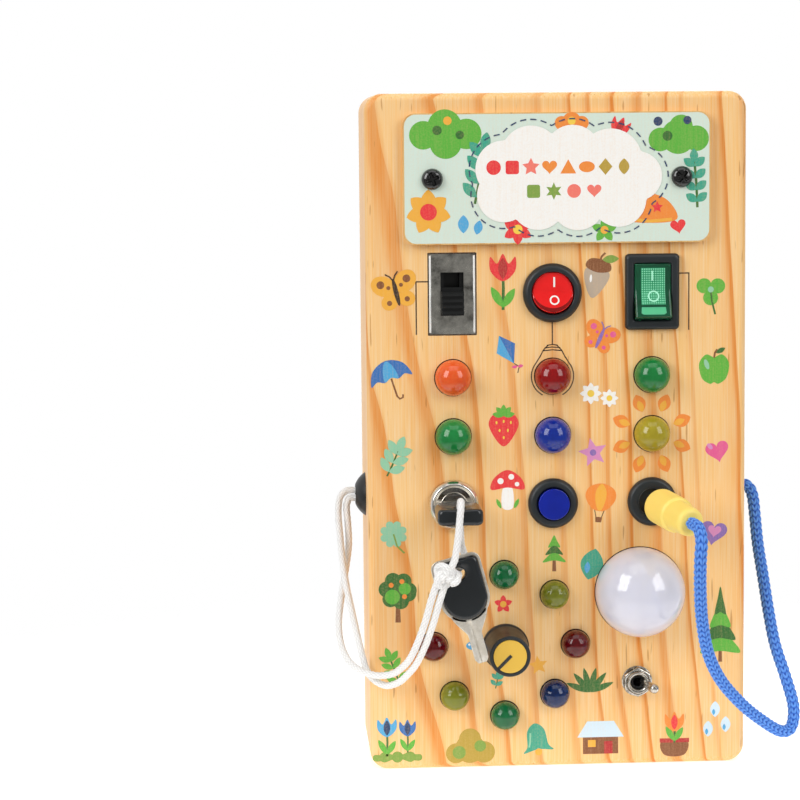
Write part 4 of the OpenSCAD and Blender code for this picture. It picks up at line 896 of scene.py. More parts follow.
# %% [markdown]
# The plug leaves the socket at a slant, so it is turned about its own axis: right and a little down as
# it comes out. Its handle is a smooth barrel with a step where the cord's clamp begins.

# %% The plug
PLUG_AXIS = np.array(next(j for j in frame["joints"] if j["name"] == "plug_pull")["axis"])


def turned_about(name, start, axis, profile, around=72):
    """A surface of revolution about any axis: start + s axis + r (cos a side + sin a up)."""
    axis = np.asarray(axis, float) / np.linalg.norm(axis)
    side = np.cross(axis, [0, 0, 1.0])
    side /= np.linalg.norm(side)
    up = np.cross(side, axis)
    r, s = (np.asarray(profile, float)[:, k][:, None, None] for k in (0, 1))
    a = (2 * np.pi * np.arange(around) / around)[None, :, None]
    return shell(name, np.asarray(start) + s * axis + r * (np.cos(a) * side + np.sin(a) * up))


PLUG_START = np.array([SOCKET_AT[0], FRONT, SOCKET_AT[1]])
barrel = rounded([(1.4, 5.5), (4.3, 5.5), (5.0, 6.4), (5.0, 17.4), (4.55, 18.0), (4.35, 18.1), (3.95, 25.9),
                  (3.3, 27.0), (1.6, 27.0)], 0.6)
handle = turned_about("plug_barrel", PLUG_START, PLUG_AXIS, capped(barrel, 5.5, 27.0), 96)
dress(handle, YELLOW, "plug", ("plug_handle",))
pin = rounded([(0.7, -8.0), (1.75, -7.2), (1.75, 5.6)], 0.4)
plug_pin = turned_about("plug_metal_pin", PLUG_START, PLUG_AXIS, capped(pin, -8, 5.6), 48)
dress(plug_pin, CHROME, "plug", ("plug_pin",))

# %% [markdown]
# ## Keys
# A key is stamped from sheet steel, and black plastic is pressed over its handle on both sides. The
# plastic's edge is well rounded and the metal shows as a rim. Seen from the hole for the cord, every
# point of the outline can be reached by a straight line, so the handle is a grid of rings that run from
# the outline to the hole on one side, through it, and back to the outline on the other.

# %% Keys
HOLE_IN, HOLE_R = 4.0, 1.9
BOW_L, BOW_W, BOW_T = 17.0, 12.4, 4.5
KEY_OUT, SPARE_TURN = 25.0, math.radians(15)
SPARE_HOLE = np.array([-29.6, -38.0, 59.1])


def in_lock(p):
    """Key coordinates (across, thick, along) of the key in the lock: its end stands KEY_OUT out."""
    return from_wood(*LOCK_AT, p[..., 0], KEY_OUT + p[..., 2], p[..., 1])


def hanging(p):
    """The same for the spare key, which hangs from its hole and leans to the right."""
    q = p + [0, 0, HOLE_IN]
    return q @ turn_about("y", -SPARE_TURN).T + SPARE_HOLE


def bow_ring(grow, around=120):
    """The handle's outline, grown by a margin, at equal angles about the hole for the cord."""
    half, end, middle = BOW_W / 2 + grow, grow, -BOW_L + BOW_W / 2
    a = np.linspace(np.pi, 2 * np.pi, 60)
    corner = 1.6 + grow
    c = np.linspace(0, np.pi / 2, 10)
    bottom = np.stack([half * np.cos(a), middle + half * np.sin(a)], axis=1)
    right = np.stack([half - corner + corner * np.cos(c), end - corner + corner * np.sin(c)], axis=1)
    left = np.stack([-half + corner - corner * np.sin(c), end - corner + corner * np.cos(c)], axis=1)
    edge = np.vstack([bottom, right, left]) - [0, -HOLE_IN]
    steps = np.linspace(0, 1, 30)[:, None]
    edge = np.vstack([(1 - steps) * p + steps * q for p, q in zip(edge, np.roll(edge, -1, axis=0))])
    angle = np.arctan2(edge[:, 1], edge[:, 0])
    order = np.argsort(angle)
    wanted = np.linspace(-np.pi, np.pi, around, endpoint=False)
    radius = np.interp(wanted, angle[order], np.linalg.norm(edge, axis=1)[order], period=2 * np.pi)
    return radius, wanted


def pierced(name, where, grow, thick, ease, hole_r):
    """A flat piece with an eased edge and a hole: rings at radius R(a) - inset, then the hole's edge."""
    radius, angle = bow_ring(grow)
    t = np.linspace(0, np.pi / 2, 7)
    rings = [(radius - ease * (1 - math.cos(q)), -thick / 2 + ease * (1 - math.sin(q))) for q in t]
    rings += [((radius + hole_r) / 2, -thick / 2), (0 * radius + hole_r + 0.25, -thick / 2),
              (0 * radius + hole_r, -thick / 2 + 0.25)]
    rings += [(r, -y) for r, y in rings[::-1]]
    grid = np.array([np.stack([r * np.cos(angle), np.full_like(r, y), r * np.sin(angle) - HOLE_IN], axis=-1)
                     for r, y in rings])
    return shell(name, where(grid), joined=True)


def blade(name, where):
    """The shoulder and the blade: sections of falling width along the key, with a milled groove."""
    along = np.concatenate([[-15.1, -16.2, -17.5, -19.0, -20.4, -21.2], np.linspace(-22, -28.4, 12),
                            [-29.1, -29.5]])
    wide = np.interp(-along, [15.1, 17.5, 20.8, 21.4, 28.4, 29.5], [5.3, 4.2, 2.1, 1.9, 1.9, 1.1])
    half = np.array([(-1, -0.9), (-0.92, -1), (-0.3, -1), (-0.25, -0.2), (0, -0.2), (0.05, -1), (0.92, -1),
                     (1, -0.9)])
    shape = np.vstack([half, (half * [1, -1])[::-1]])
    groove = np.interp(-along, [16.5, 19.0], [0.0, 1.0])[:, None]
    deep = np.where(np.abs(shape[:, 1]) < 0.5, np.sign(shape[:, 1]) * (1 - 0.8 * groove), shape[:, 1])
    grid = np.stack(np.broadcast_arrays(wide[:, None] * shape[:, 0], 0.5 * deep, along[:, None]), axis=-1)
    return shell(name, where(grid))


for name, where, body, metal_node, plastic_node, rim in (
        ("lock_key", in_lock, "key", "key_blade", "key_bow", -0.4),
        ("hanging_key", hanging, "spare_key", "spare_key_blade", "spare_key_bow", 0.7)):
    dress(pierced(name + "_plate", where, rim, 1.0, 0.15, HOLE_R), STEEL, body, (metal_node,))
    dress(blade(name + "_blade", where), STEEL, body, (metal_node,))
    dress(pierced(name + "_handle", where, 0.0, BOW_T, 1.3, HOLE_R), BLACK_GLOSS, body, (plastic_node,))

# %% [markdown]
# ## Dome, knob and toggle
# The big dome is a thin milky cap over a lamp, so light enters it and comes out softly all over. The
# knob is black plastic with a yellow disc and a pointer line. The toggle is nickel: a hexagonal nut on
# a washer, a threaded neck, and a lever that swells toward its rounded tip.

# %% Dome
DOME_AT, DOME_R = place("dome_lens"), 12.65
MILK = plastic("milk_dome", "#D6D6E2", 0.1, coat=0.6, grain=0.002, Subsurface_Weight=0.6,
               Subsurface_Radius=(1.0, 1.0, 1.1), Subsurface_Scale=3 * MM)
a = np.linspace(0, np.pi / 2, 40)
cap_line = np.stack([DOME_R * np.cos(a), 1 + DOME_R * np.sin(a)], axis=1)
cap_line[-1, 0] = 0
dome = turned("dome_cap", DOME_AT, np.vstack([[(0, 0.0), (DOME_R - 0.2, 0.0), (DOME_R, 0.2)], cap_line]), 128)
dress(dome, MILK, "root", ("dome_lens",))
# A dark ring of painted shade marks the gap round the dome's foot.
painted_gap_shade("dome_foot_gap_shade", DOME_AT, DOME_R, 0.15)

# %% Knob
KNOB_AT = place("knob_body")
KNOB_LOW, KNOB_TOP, KNOB_BASE_R, KNOB_TOP_R, DISC_R = 2.4, 16.4, 6.6, 5.65, 4.7
FLUTES, FLUTE_DEPTH = 24, 0.16
side_line = rounded([(5.8, KNOB_LOW), (KNOB_BASE_R, KNOB_LOW), (KNOB_BASE_R, KNOB_LOW + 1.2),
                     (6.2, KNOB_LOW + 1.7), (KNOB_TOP_R, KNOB_TOP - 0.1), (DISC_R, KNOB_TOP - 0.1),
                     (DISC_R - 0.05, KNOB_TOP - 0.5)], 0.35, 6)
r, height = capped(side_line, KNOB_LOW, KNOB_TOP - 0.5).T[:, :, None]
turn = 2 * np.pi * np.arange(240)[None, :] / 240
gripped = (np.clip(height - KNOB_LOW - 2, 0, 1) * np.clip((KNOB_TOP - 0.6 - height) / 0.6, 0, 1)) * (r > 5)
fluted = r - FLUTE_DEPTH * gripped * (0.5 + 0.5 * np.cos(FLUTES * turn))
knob = shell("knob_grip", from_wood(*KNOB_AT, fluted * np.cos(turn), height, fluted * np.sin(turn)))
dress(knob, BLACK, "knob", ("knob_body",))
disc_line = rounded([(DISC_R - 0.1, KNOB_TOP - 0.6), (DISC_R - 0.1, KNOB_TOP - 0.02), (4.2, KNOB_TOP),
                     (0.5, KNOB_TOP - 0.05)], 0.15)
disc = turned("knob_disc", KNOB_AT, capped(disc_line, KNOB_TOP - 0.6, KNOB_TOP - 0.05), 96)
dress(disc, plastic("yellow_disc", "#DCB243", 0.4), "knob", ("knob_cap",))
POINTER, POINTER_W = math.radians(225), 0.9
r = np.linspace(-0.4, DISC_R - 0.1, 12)[:, None]
across = np.array([-0.5, -0.5, 0.5, 0.5])[None, :] * POINTER_W
out = KNOB_TOP + np.array([-0.5, 0.05, 0.05, -0.5])[None, :] + 0 * r
pointer = from_wood(*KNOB_AT, r * math.cos(POINTER) - across * math.sin(POINTER), out,
                    r * math.sin(POINTER) + across * math.cos(POINTER))
dress(shell("knob_pointer", pointer), BLACK, "knob")

# %% Toggle
TOGGLE_AT = place("toggle_nut")


def hexagon_nut(name, at, flats, low, high, bore):
    """A nut: the ring's radius is flats/2 / cos(a mod 60 degrees), cut down to a cone at its corners."""
    a = 2 * np.pi * np.arange(144) / 144
    hexed = flats / 2 / np.cos((a + np.pi / 6) % (np.pi / 3) - np.pi / 6)
    limit, out = np.array([(bore, low), (flats, low), (flats, high - 0.35), (flats / 2 + 0.15, high),
                           (bore + 0.3, high), (bore, high - 0.3)]).T[:, :, None]
    radius = np.minimum(hexed - 0.05, limit)
    return shell(name, from_wood(*at, radius * np.cos(a), out, radius * np.sin(a)), joined=True)


dress(hexagon_nut("toggle_hexagon", TOGGLE_AT, 7.5, 0.5, 2.5, 3.02), PLATED, "root", ("toggle_nut",))
washer = rounded([(3.0, 0), (4.3, 0), (4.3, 0.5), (3.0, 0.5)], 0.12)
thread = [(3.12 - 0.1 * (0.5 + 0.5 * math.cos(2 * math.pi * q / 0.5)), q) for q in np.linspace(2.0, 3.2, 40)]
neck = [(2.98, 1.9), *thread, (2.95, 3.45), (2.6, 3.45), (1.9, 2.75), (1.9, 2.2), (2.5, 2.0)]
boot = np.vstack([rounded([(2.2, 2.6), (1.8, 2.6), (1.65, 2.1), (1.25, 1.9)], 0.15),
                  [(1.25, 1.3), (2.2, 1.3)]])
for name, profile, material in (("washer", washer, PLATED), ("thread", neck, PLATED),
                                ("boot", boot, BLACK_AND_SLOT_SHADE)):
    dress(turned("toggle_" + name, TOGGLE_AT, profile, 240, joined=True), material, "root")
pivot = np.array([TOGGLE_AT[0], FRONT + 2.0, TOGGLE_AT[1]])
LEVER_LEAN, LEVER_L, LEVER_R = math.radians(14), 13.3, 1.35
lever_axis = np.array([math.sin(LEVER_LEAN), -math.cos(LEVER_LEAN), 0])
a = np.linspace(-0.1, np.pi / 2, 14)
tip = np.stack([LEVER_R * np.cos(a), LEVER_L + LEVER_R * np.sin(a)], axis=1)
tip[-1, 0] = 0
stem = np.array([(0, -1.6), (0.95, -1.3), (1.05, -0.5), (1.05, 1.2), (0.95, 2.5), (1.05, 7.0), (1.25, 11.5)])
lever = turned_about("toggle_handle", pivot, lever_axis, np.vstack([stem, tip]), 48)
dress(lever, PLATED, "lever", ("toggle_lever",))

# %% [markdown]
# The grommet is black rubber: a low dome round the hole where the white cord goes in. It is turned
# about an axis that points to the left, out of the board's side.

# %% Grommet
GROMMET_H, GROMMET_R, GROMMET_HOLE = 3.4, 6.2, 2.3
grommet_low, grommet_high = (np.array(corner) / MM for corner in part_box("cord_grommet"))
GROMMET_AT = np.array([block_low[0], 0, (grommet_low[2] + grommet_high[2]) / 2])
curve = (GROMMET_R**2 + GROMMET_H**2) / (2 * GROMMET_H)
q = np.linspace(GROMMET_R, GROMMET_HOLE + 0.5, 24)
hill = np.stack([q, np.sqrt(curve**2 - q**2) - curve + GROMMET_H], axis=1)
lip = rounded([hill[-2], (GROMMET_HOLE, hill[-1][1] + 0.05), (GROMMET_HOLE, -7.5)], 0.5)
grommet_line = np.vstack([[(0, -0.1), (GROMMET_R - 0.2, -0.1)], hill, lip[1:], [(0, -7.6)]])
RUBBER = plastic("black_rubber", "#0B0D0E", 0.4, grain=0.02)
grommet = turned_about("grommet_dome", GROMMET_AT, [-1, 0, 0], grommet_line, 72)
dress(grommet, RUBBER, "root", ("cord_grommet",))

# %% [markdown]
# ## Printing on the wood and on the plate
# Small pictures are printed straight on the wood, so each is only as thick as its ink. A picture is a
# stack of flat outlines, and each layer lies a few hundredths of a millimetre above the last one. The
# outlines come from a few formulas: ellipses, leaves, stars, hearts, strokes and rings of scallops.

# %% Outlines in millimetres


def oval(x, z, rx, rz=None, turn=0.0, count=32):
    """An ellipse: (rx cos a, rz sin a), turned and moved."""
    a = 2 * np.pi * np.arange(count) / count
    return spun(np.stack([rx * np.cos(a), (rz or rx) * np.sin(a)], axis=1), turn) + (x, z)


def spun(points, degrees):
    """Points turned to the left about the origin."""
    c, s = math.cos(math.radians(degrees)), math.sin(math.radians(degrees))
    return np.asarray(points, float) @ np.array([[c, s], [-s, c]])


def leaf(x, z, length, width, turn=0.0, count=14):
    """A pointed leaf from (x, z): half width = width/2 sin(pi t)^0.8 at the distance t length."""
    t = np.linspace(0, 1, count)
    half = width / 2 * np.sin(np.pi * t) ** 0.8
    edge = np.vstack([np.stack([half, t * length], axis=1), np.stack([-half, t * length], axis=1)[-2:0:-1]])
    return spun(edge, turn) + (x, z)


def star(x, z, outer, inner, points=5, turn=0.0):
    """A star: its radius goes from outer to inner and back at each point."""
    a = np.pi / 2 + np.pi * np.arange(2 * points) / points
    r = np.where(np.arange(2 * points) % 2 == 0, outer, inner)
    return spun(np.stack([r * np.cos(a), r * np.sin(a)], axis=1), turn) + (x, z)


def heart(x, z, size, turn=0.0):
    """A heart: (16 sin^3 t, 13 cos t - 5 cos 2t - 2 cos 3t - cos 4t) / 34 of its width."""
    t = np.linspace(0, 2 * np.pi, 36, endpoint=False)
    up = 13 * np.cos(t) - 5 * np.cos(2 * t) - 2 * np.cos(3 * t) - np.cos(4 * t)
    return spun(np.stack([16 * np.sin(t) ** 3, up], axis=1) * size / 34, turn) + (x, z)


def soft(points, steps=6):
    """A closed smooth outline through points, by the same cubic as the cords."""
    p = np.asarray(points, float)
    return spans(*(np.roll(p, k, axis=0) for k in (1, 0, -1, -2)), steps)


def stroke(points, width):
    """A band of even width along a line: the line moved to both sides by half the width."""
    p = np.asarray(points, float)
    along = np.gradient(p, axis=0)
    along /= np.linalg.norm(along, axis=1)[:, None]
    side = np.stack([-along[:, 1], along[:, 0]], axis=1) * width / 2
    return np.vstack([p + side, (p - side)[::-1]])


def scallops(circles, grow=0.0, count=220):
    """The outline of joined circles, seen from the origin: the farthest exit of each ray from them."""
    a = 2 * np.pi * np.arange(count) / count
    ray = np.stack([np.cos(a), np.sin(a)], axis=1)
    middle, radius = np.array([c[:2] for c in circles], float), np.array([c[2] + grow for c in circles])
    near = ray @ middle.T
    inside = radius**2 - (middle**2).sum(axis=1) + near**2
    far = np.where(inside > 0, near + np.sqrt(np.maximum(inside, 0)), 0).max(axis=1)
    return ray * far[:, None]


def dashes(outline, dash, gap, width):
    """Short strokes along a closed outline, one every dash + gap millimetres."""
    loop = np.vstack([outline, outline[:1]])
    walked = walk(loop)
    made = []
    for start in np.arange(0, walked[-1] - dash, dash + gap):
        at = np.linspace(start, start + dash, 5)
        made.append(stroke(np.stack([np.interp(at, walked, loop[:, k]) for k in (0, 1)], axis=1), width))
    return made


# %% [markdown]
# An ink is thin, so the wood's pores and its colour come through a little. Each ink is one material.

# %% Inks
INKS = {
    "red": "#E8303A", "deep_red": "#B4252C", "orange": "#F08A34", "amber": "#F0AE3C", "yellow": "#F5CF4A",
    "green": "#5BB13B", "deep_green": "#2F6B2C", "leaf": "#7DA043", "teal": "#35A388", "mint": "#8FC9A6",
    "sky": "#49A6D8", "blue": "#2E6FB5", "navy": "#173B66", "pale_blue": "#CFE4F1", "pink": "#E45A93",
    "rose": "#D98BC0", "purple": "#8B6BB5", "brown": "#84502F", "dark": "#33241C", "grey": "#B9A794",
    "white": "#F6F4F0", "plate_mint": "#D3E4D8", "olive": "#B79A3A", "salmon": "#F2776B",
}


def ink(name, code, through=0.16):
    """Printing ink: its colour, broken by fibres of the wood below and by the dots of the printing."""
    material, shader, put, where = started("ink_" + name, Roughness=0.5)
    along = put("ShaderNodeMapping", {"Vector": where, "Scale": (per_mm(0.5), 1, per_mm(14))})
    fibre = put("ShaderNodeTexNoise", {"Vector": along, "Scale": 1.0, "Detail": 4.0})
    dots = put("ShaderNodeTexNoise", {"Vector": where, "Scale": per_mm(0.5), "Detail": 2.0})
    both = put("ShaderNodeMath", {0: fibre, 1: dots}, operation="MULTIPLY")
    show = put("ShaderNodeMapRange", {"Value": both, "From Min": 0.18, "From Max": 0.42, "To Min": 0.0,
                                      "To Max": through})
    feed(shader, {"Base Color": put("ShaderNodeMix", {"Factor": show, 6: code, 7: "#EBC08A"},
                                    data_type="RGBA")})
    return material


WOOD_INKS = {name: ink(name, code) for name, code in INKS.items()}
STEP_UP, FIRST_LAYER = 0.008, 0.02
wood_prints, plate_prints = [], []


def motif(x, z, *shapes, turn=0.0, size=1.0, onto=wood_prints, above=0):
    """Places a picture: each shape is (ink, outline), and the later ones lie on the earlier."""
    for layer, (name, outline) in enumerate(shapes, above):
        onto.append((name, spun(np.asarray(outline) * size, turn) + (x, z), layer))


def print_mesh(name, prints, out):
    """One mesh for all prints of a surface: one face for each outline, at its layer's height."""
    placed = []
    for _, outline, layer in prints:
        x, z = outline.T
        if np.sum(x * np.roll(z, -1) - np.roll(x, -1) * z) <= 0:
            x, z = x[::-1], z[::-1]
        lift = out + FIRST_LAYER + STEP_UP * layer
        placed.append(np.stack([x, np.full(len(x), FRONT - lift), z], axis=1))
    obj = sheets(name, placed)
    inks = [name_of_ink for name_of_ink, _, _ in prints]
    used = sorted(set(inks))
    for name_of_ink in used:
        obj.data.materials.append(WOOD_INKS[name_of_ink])
    obj.data.polygons.foreach_set("material_index", [used.index(i) for i in inks])
    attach(obj, "root")


# %% Pictures on the wood
def flower(petals, heart_ink, petal_ink, reach, width, count=6):
    """Petals at equal angles about a round heart."""
    made = [(petal_ink, leaf(0, 0, reach, width, 360 * k / count)) for k in range(count)]
    return made + [(heart_ink, oval(0, 0, petals))]


def sprig(ink_name, stem, pairs, length, width, rise):
    """A stem with pairs of leaves up its sides and one at its tip."""
    made = [("deep_green", stroke([(0, -rise / 2), (0.15, 0), (0, rise / 2)], stem))]
    for k in range(pairs):
        z = -rise / 2 + rise * (k + 0.5) / pairs
        made += [(ink_name, leaf(0, z, length, width, side * 52)) for side in (-1, 1)]
    return made + [(ink_name, leaf(0, rise / 2 - 0.5, length, width, 0))]


def butterfly(wing, spot, body):
    """Two upper and two lower wings, with spots, on a narrow body."""
    made = []
    for side in (-1, 1):
        made += [(wing, oval(side * 2.6, 2.0, 2.9, 2.3, side * 35)),
                 (wing, oval(side * 2.0, -1.9, 2.0, 1.8, -side * 30)), (spot, oval(side * 3.1, 2.5, 0.9)),
                 (spot, oval(side * 2.1, -2.1, 0.6)), (spot, oval(side * 1.5, 1.4, 0.45))]
    made += [(body, oval(0, 0, 0.55, 3.2)), (body, stroke([(0, 2.6), (-0.6, 3.8), (-1.5, 4.6)], 0.3)),
             (body, stroke([(0, 2.6), (0.6, 3.8), (1.5, 4.6)], 0.3))]
    return made


def tulip(cup, shade, stem=5.0):
    """A cup of three petals on a stem with two leaves."""
    return [("deep_green", stroke([(0, -stem - 1.5), (0.1, -2), (0, 1)], 0.6)),
            ("green", leaf(0, -stem - 1, 4.6, 1.7, -32)), ("green", leaf(0, -stem - 1, 4.9, 1.7, 30)),
            (cup, soft([(-2.6, 4.4), (-2.5, 1.4), (0, -0.6), (2.5, 1.4), (2.6, 4.4), (1.2, 3.0), (0, 5.0),
                        (-1.2, 3.0)])),
            (shade, leaf(0, -0.2, 4.4, 1.9))]


def round_tree(crown, shade, fruit, r=5.0):
    """A round crown of scallops on a trunk, with shaded lobes and fruit."""
    lobes = [(0, 0, r * 0.8)] + [(r * 0.62 * math.cos(k), r * 0.62 * math.sin(k), r * 0.45) for k in range(7)]
    return [("brown", [(-0.7, -r - 4), (0.8, -r - 4), (0.5, 0), (-0.4, 0)]), (crown, scallops(lobes)),
            (shade, oval(-r * 0.3, -r * 0.35, r * 0.42)), (shade, oval(r * 0.4, r * 0.1, r * 0.34)),
            (fruit, oval(-1.8, 1.6, 0.7)), (fruit, oval(1.2, 2.6, 0.7)), (fruit, oval(1.9, -1.7, 0.7))]


def fir(h, w, tiers=3):
    """Tiers of triangles with drooping corners, the widest lowest."""
    foot = -h / 2
    made = [("brown", [(-0.55, foot - 2.6), (0.55, foot - 2.6), (0.45, foot + 1), (-0.45, foot + 1)])]
    for k in range(tiers):
        low = foot + h * k / (tiers + 0.6)
        half = w / 2 * (1 - 0.24 * k)
        made.append(("deep_green" if k % 2 else "green", soft(
            [(-half, low), (0, low + 0.5), (half, low), (half * 0.45, low + h * 0.27), (0, low + h * 0.46),
             (-half * 0.45, low + h * 0.27)], 5)))
    return made


def mushroom(cap_ink, spot):
    """A domed cap with spots on a pale stalk."""
    return [("white", soft([(-1.1, 0.5), (-1.3, -4.4), (1.3, -4.4), (1.1, 0.5)])),
            (cap_ink, soft([(-4, 0), (-3.3, 2.8), (0, 4.8), (3.3, 2.8), (4, 0), (0, 0.5)])),
            (spot, oval(-1.7, 2.1, 0.75)), (spot, oval(0.9, 3.1, 0.7)), (spot, oval(2.3, 1.3, 0.55)),
            ("green", leaf(-1.6, -4.6, 2.6, 0.9, 25)), ("green", leaf(1.6, -4.6, 2.6, 0.9, -25))]


def apple(skin, light):
    """A round fruit with a dip at its top, a stalk and a leaf."""
    return [(skin, soft([(0, 3.1), (-2.2, 3.8), (-4, 1.4), (-3.3, -2.4), (-1.2, -4.0), (0, -3.6), (1.2, -4.0),
                         (3.3, -2.4), (4, 1.4), (2.2, 3.8)])),
            ("brown", stroke([(0, 2.9), (0.2, 4.2), (0.8, 5.2)], 0.5)),
            ("deep_green", leaf(0.5, 4.2, 2.8, 1.3, -62)),
            (light, oval(-2.0, 1.2, 0.6, 1.4, 20))]


def balloon(skin, light, basket="brown"):
    """A hot-air balloon: a drop-shaped bag with a lighter gore, ropes and a basket."""
    return [*[("dark", stroke([(side * 1.6, -1.6), (side * 0.8, -4.3)], 0.22)) for side in (-1, 1)],
            (skin, soft([(0, 5.4), (-3.6, 4), (-4.3, 1), (-1.8, -2.2), (1.8, -2.2), (4.3, 1), (3.6, 4)])),
            (light, soft([(0, 5.3), (-1.4, 3.4), (-1.5, 0.8), (-0.6, -2.1), (0.6, -2.1), (1.5, 0.8),
                          (1.4, 3.4)])),
            (basket, [(-1.0, -4.3), (1.0, -4.3), (0.8, -5.8), (-0.8, -5.8)])]


motif(-44.6, 134.5, *butterfly("amber", "brown", "dark"), size=1.2, turn=14)
motif(-15, 138, *tulip("red", "deep_red"), size=1.35)
motif(11, 138, ("grey", soft([(-2.6, 2), (-2.9, -1), (0, -5.4), (2.9, -1), (2.6, 2)])),
      ("brown", soft([(-3.2, 2.2), (-2.2, 4.4), (2.2, 4.4), (3.2, 2.2), (0, 1.2)])),
      ("brown", stroke([(0, 4), (0.3, 5.4), (1.0, 6.4)], 0.5)), ("white", oval(-1.3, -0.6, 0.3, 1.0, 8)),
      ("leaf", leaf(0.6, 4.6, 4.2, 2.0, -75)), turn=-12, size=1.1)
motif(43, 133, *[("green", oval(2.1 * math.cos(k), 2.1 * math.sin(k) + 1, 2.0)) for k in (0.5, 2.6, 4.7)],
      ("deep_green", stroke([(0, 1), (0.3, -2), (1.2, -5.5)], 0.5)), ("mint", oval(0, 1.1, 0.8)), size=1.05)
motif(-14, 118, ("sky", [(0, 4.6), (-2.9, 0.6), (0, -4.2), (2.9, 0.6)]),
      ("blue", [(0, 4.6), (0, -4.2), (2.9, 0.6)]),
      ("dark", stroke([(0, -4.2), (0.9, -5.6), (-0.3, -7)], 0.25)),
      ("pink", leaf(0.5, -5.4, 1.6, 0.9, 70)), ("pink", leaf(0.5, -5.4, 1.6, 0.9, -110)), turn=28)
motif(12, 121, *butterfly("orange", "pink", "purple"), size=0.95, turn=-24)
motif(-46, 110, ("blue", soft([(-6, 0), (-4.3, 4), (0, 5.8), (4.3, 4), (6, 0), (4, 0.8), (2, 0), (0, 0.8),
                               (-2, 0), (-4, 0.8)])),
      ("sky", soft([(-2, 0.2), (-1.5, 3.6), (0, 5.6), (1.5, 3.6), (2, 0.2), (0, 0.8)])),
      ("brown", stroke([(0, 0.6), (0, -4.6), (0.5, -5.5), (1.4, -5.4), (1.7, -4.6)], 0.5)), turn=18)
for x, z, size in ((9.4, 105.6, 0.9), (14.6, 104.2, 0.75)):
    motif(x, z, *flower(1.1, "yellow", "white", 3.4, 1.9, 8), size=size)
motif(44, 112, *apple("green", "mint"), size=1.05)
motif(-15, 97, ("red", soft([(0, -5.6), (-3.8, -0.6), (-3.1, 2.6), (0, 3.2), (3.1, 2.6), (3.8, -0.6)])),
      *[("green", leaf(0, 2.6, 3.0, 1.5, a)) for a in (-80, -40, 0, 40, 80)],
      *[("yellow", oval(x, z, 0.25, 0.42))
        for x, z in ((-1.9, 0.8), (0, 1.1), (1.9, 0.8), (-1.1, -1.3), (1.1, -1.3), (0, -3.2))], size=1.05)
motif(10, 89, ("rose", star(0, 0, 4.2, 1.9, 5, 12)), ("purple", oval(0, 0, 0.9)))
motif(-46, 87, *sprig("mint", 0.5, 3, 4.6, 2.4, 8), turn=-24)
motif(45, 89, ("pink", heart(0, 0, 7)), ("rose", oval(-1.8, 1.6, 0.6, 1.0, 30)), turn=12)
SUN_X, SUN_Z = place("lamp_yellow")
for k in range(8):
    a = 22.5 + 45 * k
    motif(SUN_X + 6.6 * math.cos(math.radians(a)), SUN_Z + 6.6 * math.sin(math.radians(a)),
          ("orange", leaf(0, 0, 5.2, 3.6, a - 90)), ("amber", leaf(0, 0, 3.4, 1.8, a - 90)))
motif(-14, 79, *mushroom("red", "white"), size=1.15)
motif(12, 75, *balloon("orange", "amber"), size=0.98, turn=-6)
motif(-46, 67, *[("mint", heart(2.0 * math.cos(k), 2.0 * math.sin(k), 4.6, math.degrees(k) - 90))
                 for k in (0.785, 2.356, 3.927, 5.498)],
      ("leaf", stroke([(0, 0), (1.0, -3.4), (3, -5.4)], 0.45)))
motif(-1, 62, *fir(7.5, 6.5, 3))
motif(44, 66, ("purple", heart(0, 0, 8)), ("rose", heart(0.2, 0.4, 4)), turn=-10)
motif(9.5, 57, ("teal", leaf(0, -4, 9, 6.4)), ("sky", leaf(-0.8, -2.4, 3.4, 1.6, 8)), turn=-14)
motif(-45, 51, *round_tree("deep_green", "green", "orange"))
motif(46, 40, *fir(17, 11.5, 4))
motif(-46, 28, *sprig("green", 0.5, 4, 3.6, 1.7, 8.5), turn=20)
motif(9, 24, *[("deep_green", leaf(0, -3, 7.2, 1.7, a)) for a in (-68, -40, -14, 14, 40, 68)])
for x, size, cup in ((-48.4, 1.0, "sky"), (-42.6, 0.85, "blue")):
    motif(x, 10, *tulip(cup, "navy", 4.6), size=size)
motif(-45.5, 3.6, ("leaf", scallops([(0, 0, 1.6), (-3.6, 0, 1.5), (3.6, 0, 1.5), (-6, -0.2, 1),
                                     (6, -0.2, 1)])))
motif(-25, 5.6, ("olive", scallops([(0, 0, 3.8), (-3.6, -1.2, 2.6), (3.6, -1.0, 2.8), (0, 2.4, 2.8)])),
      ("leaf", oval(-2.8, -1.0, 1.7)), ("leaf", oval(2.6, 0.6, 1.5)), size=1.1)
motif(-6, 7.4, ("teal", soft([(0, 5), (-2.4, 3), (-3.0, -1.4), (-4.2, -3.2), (0, -2.5), (4.2, -3.2),
                              (3.0, -1.4), (2.4, 3)])),
      ("amber", oval(0, -3.3, 1.0)), ("mint", stroke([(-1.6, 2.4), (-2.0, 0), (-2.5, -1.6)], 0.5)), turn=8)
motif(12, 7.2, ("brown", [(-5, -4), (5, -4), (5, 1), (-5, 1)]),
      ("pale_blue", [(-6.6, 0.8), (6.6, 0.8), (3.8, 5.4), (-3.8, 5.4)]),
      ("amber", [(-3.6, -2), (-1.4, -2), (-1.4, 0), (-3.6, 0)]),
      ("deep_red", [(1, -4), (3.4, -4), (3.4, -0.4), (1, -0.4)]))
motif(33, 6.8, ("brown", soft([(-3.6, -0.4), (-2.8, -4.4), (2.8, -4.4), (3.6, -0.4)])),
      ("deep_red", stroke([(-4.2, -0.2), (0, -0.25), (4.2, -0.2)], 1.2)),
      *[(name, outline + (0, 3)) for name, outline in tulip("orange", "red", 2.4)])
for x, z in ((44.6, 15), (47.6, 10.6), (42.6, 9.4)):
    motif(x, z, ("pale_blue", leaf(0, -2, 4.6, 2.8)), ("sky", leaf(-0.4, -1.4, 1.8, 0.9)))
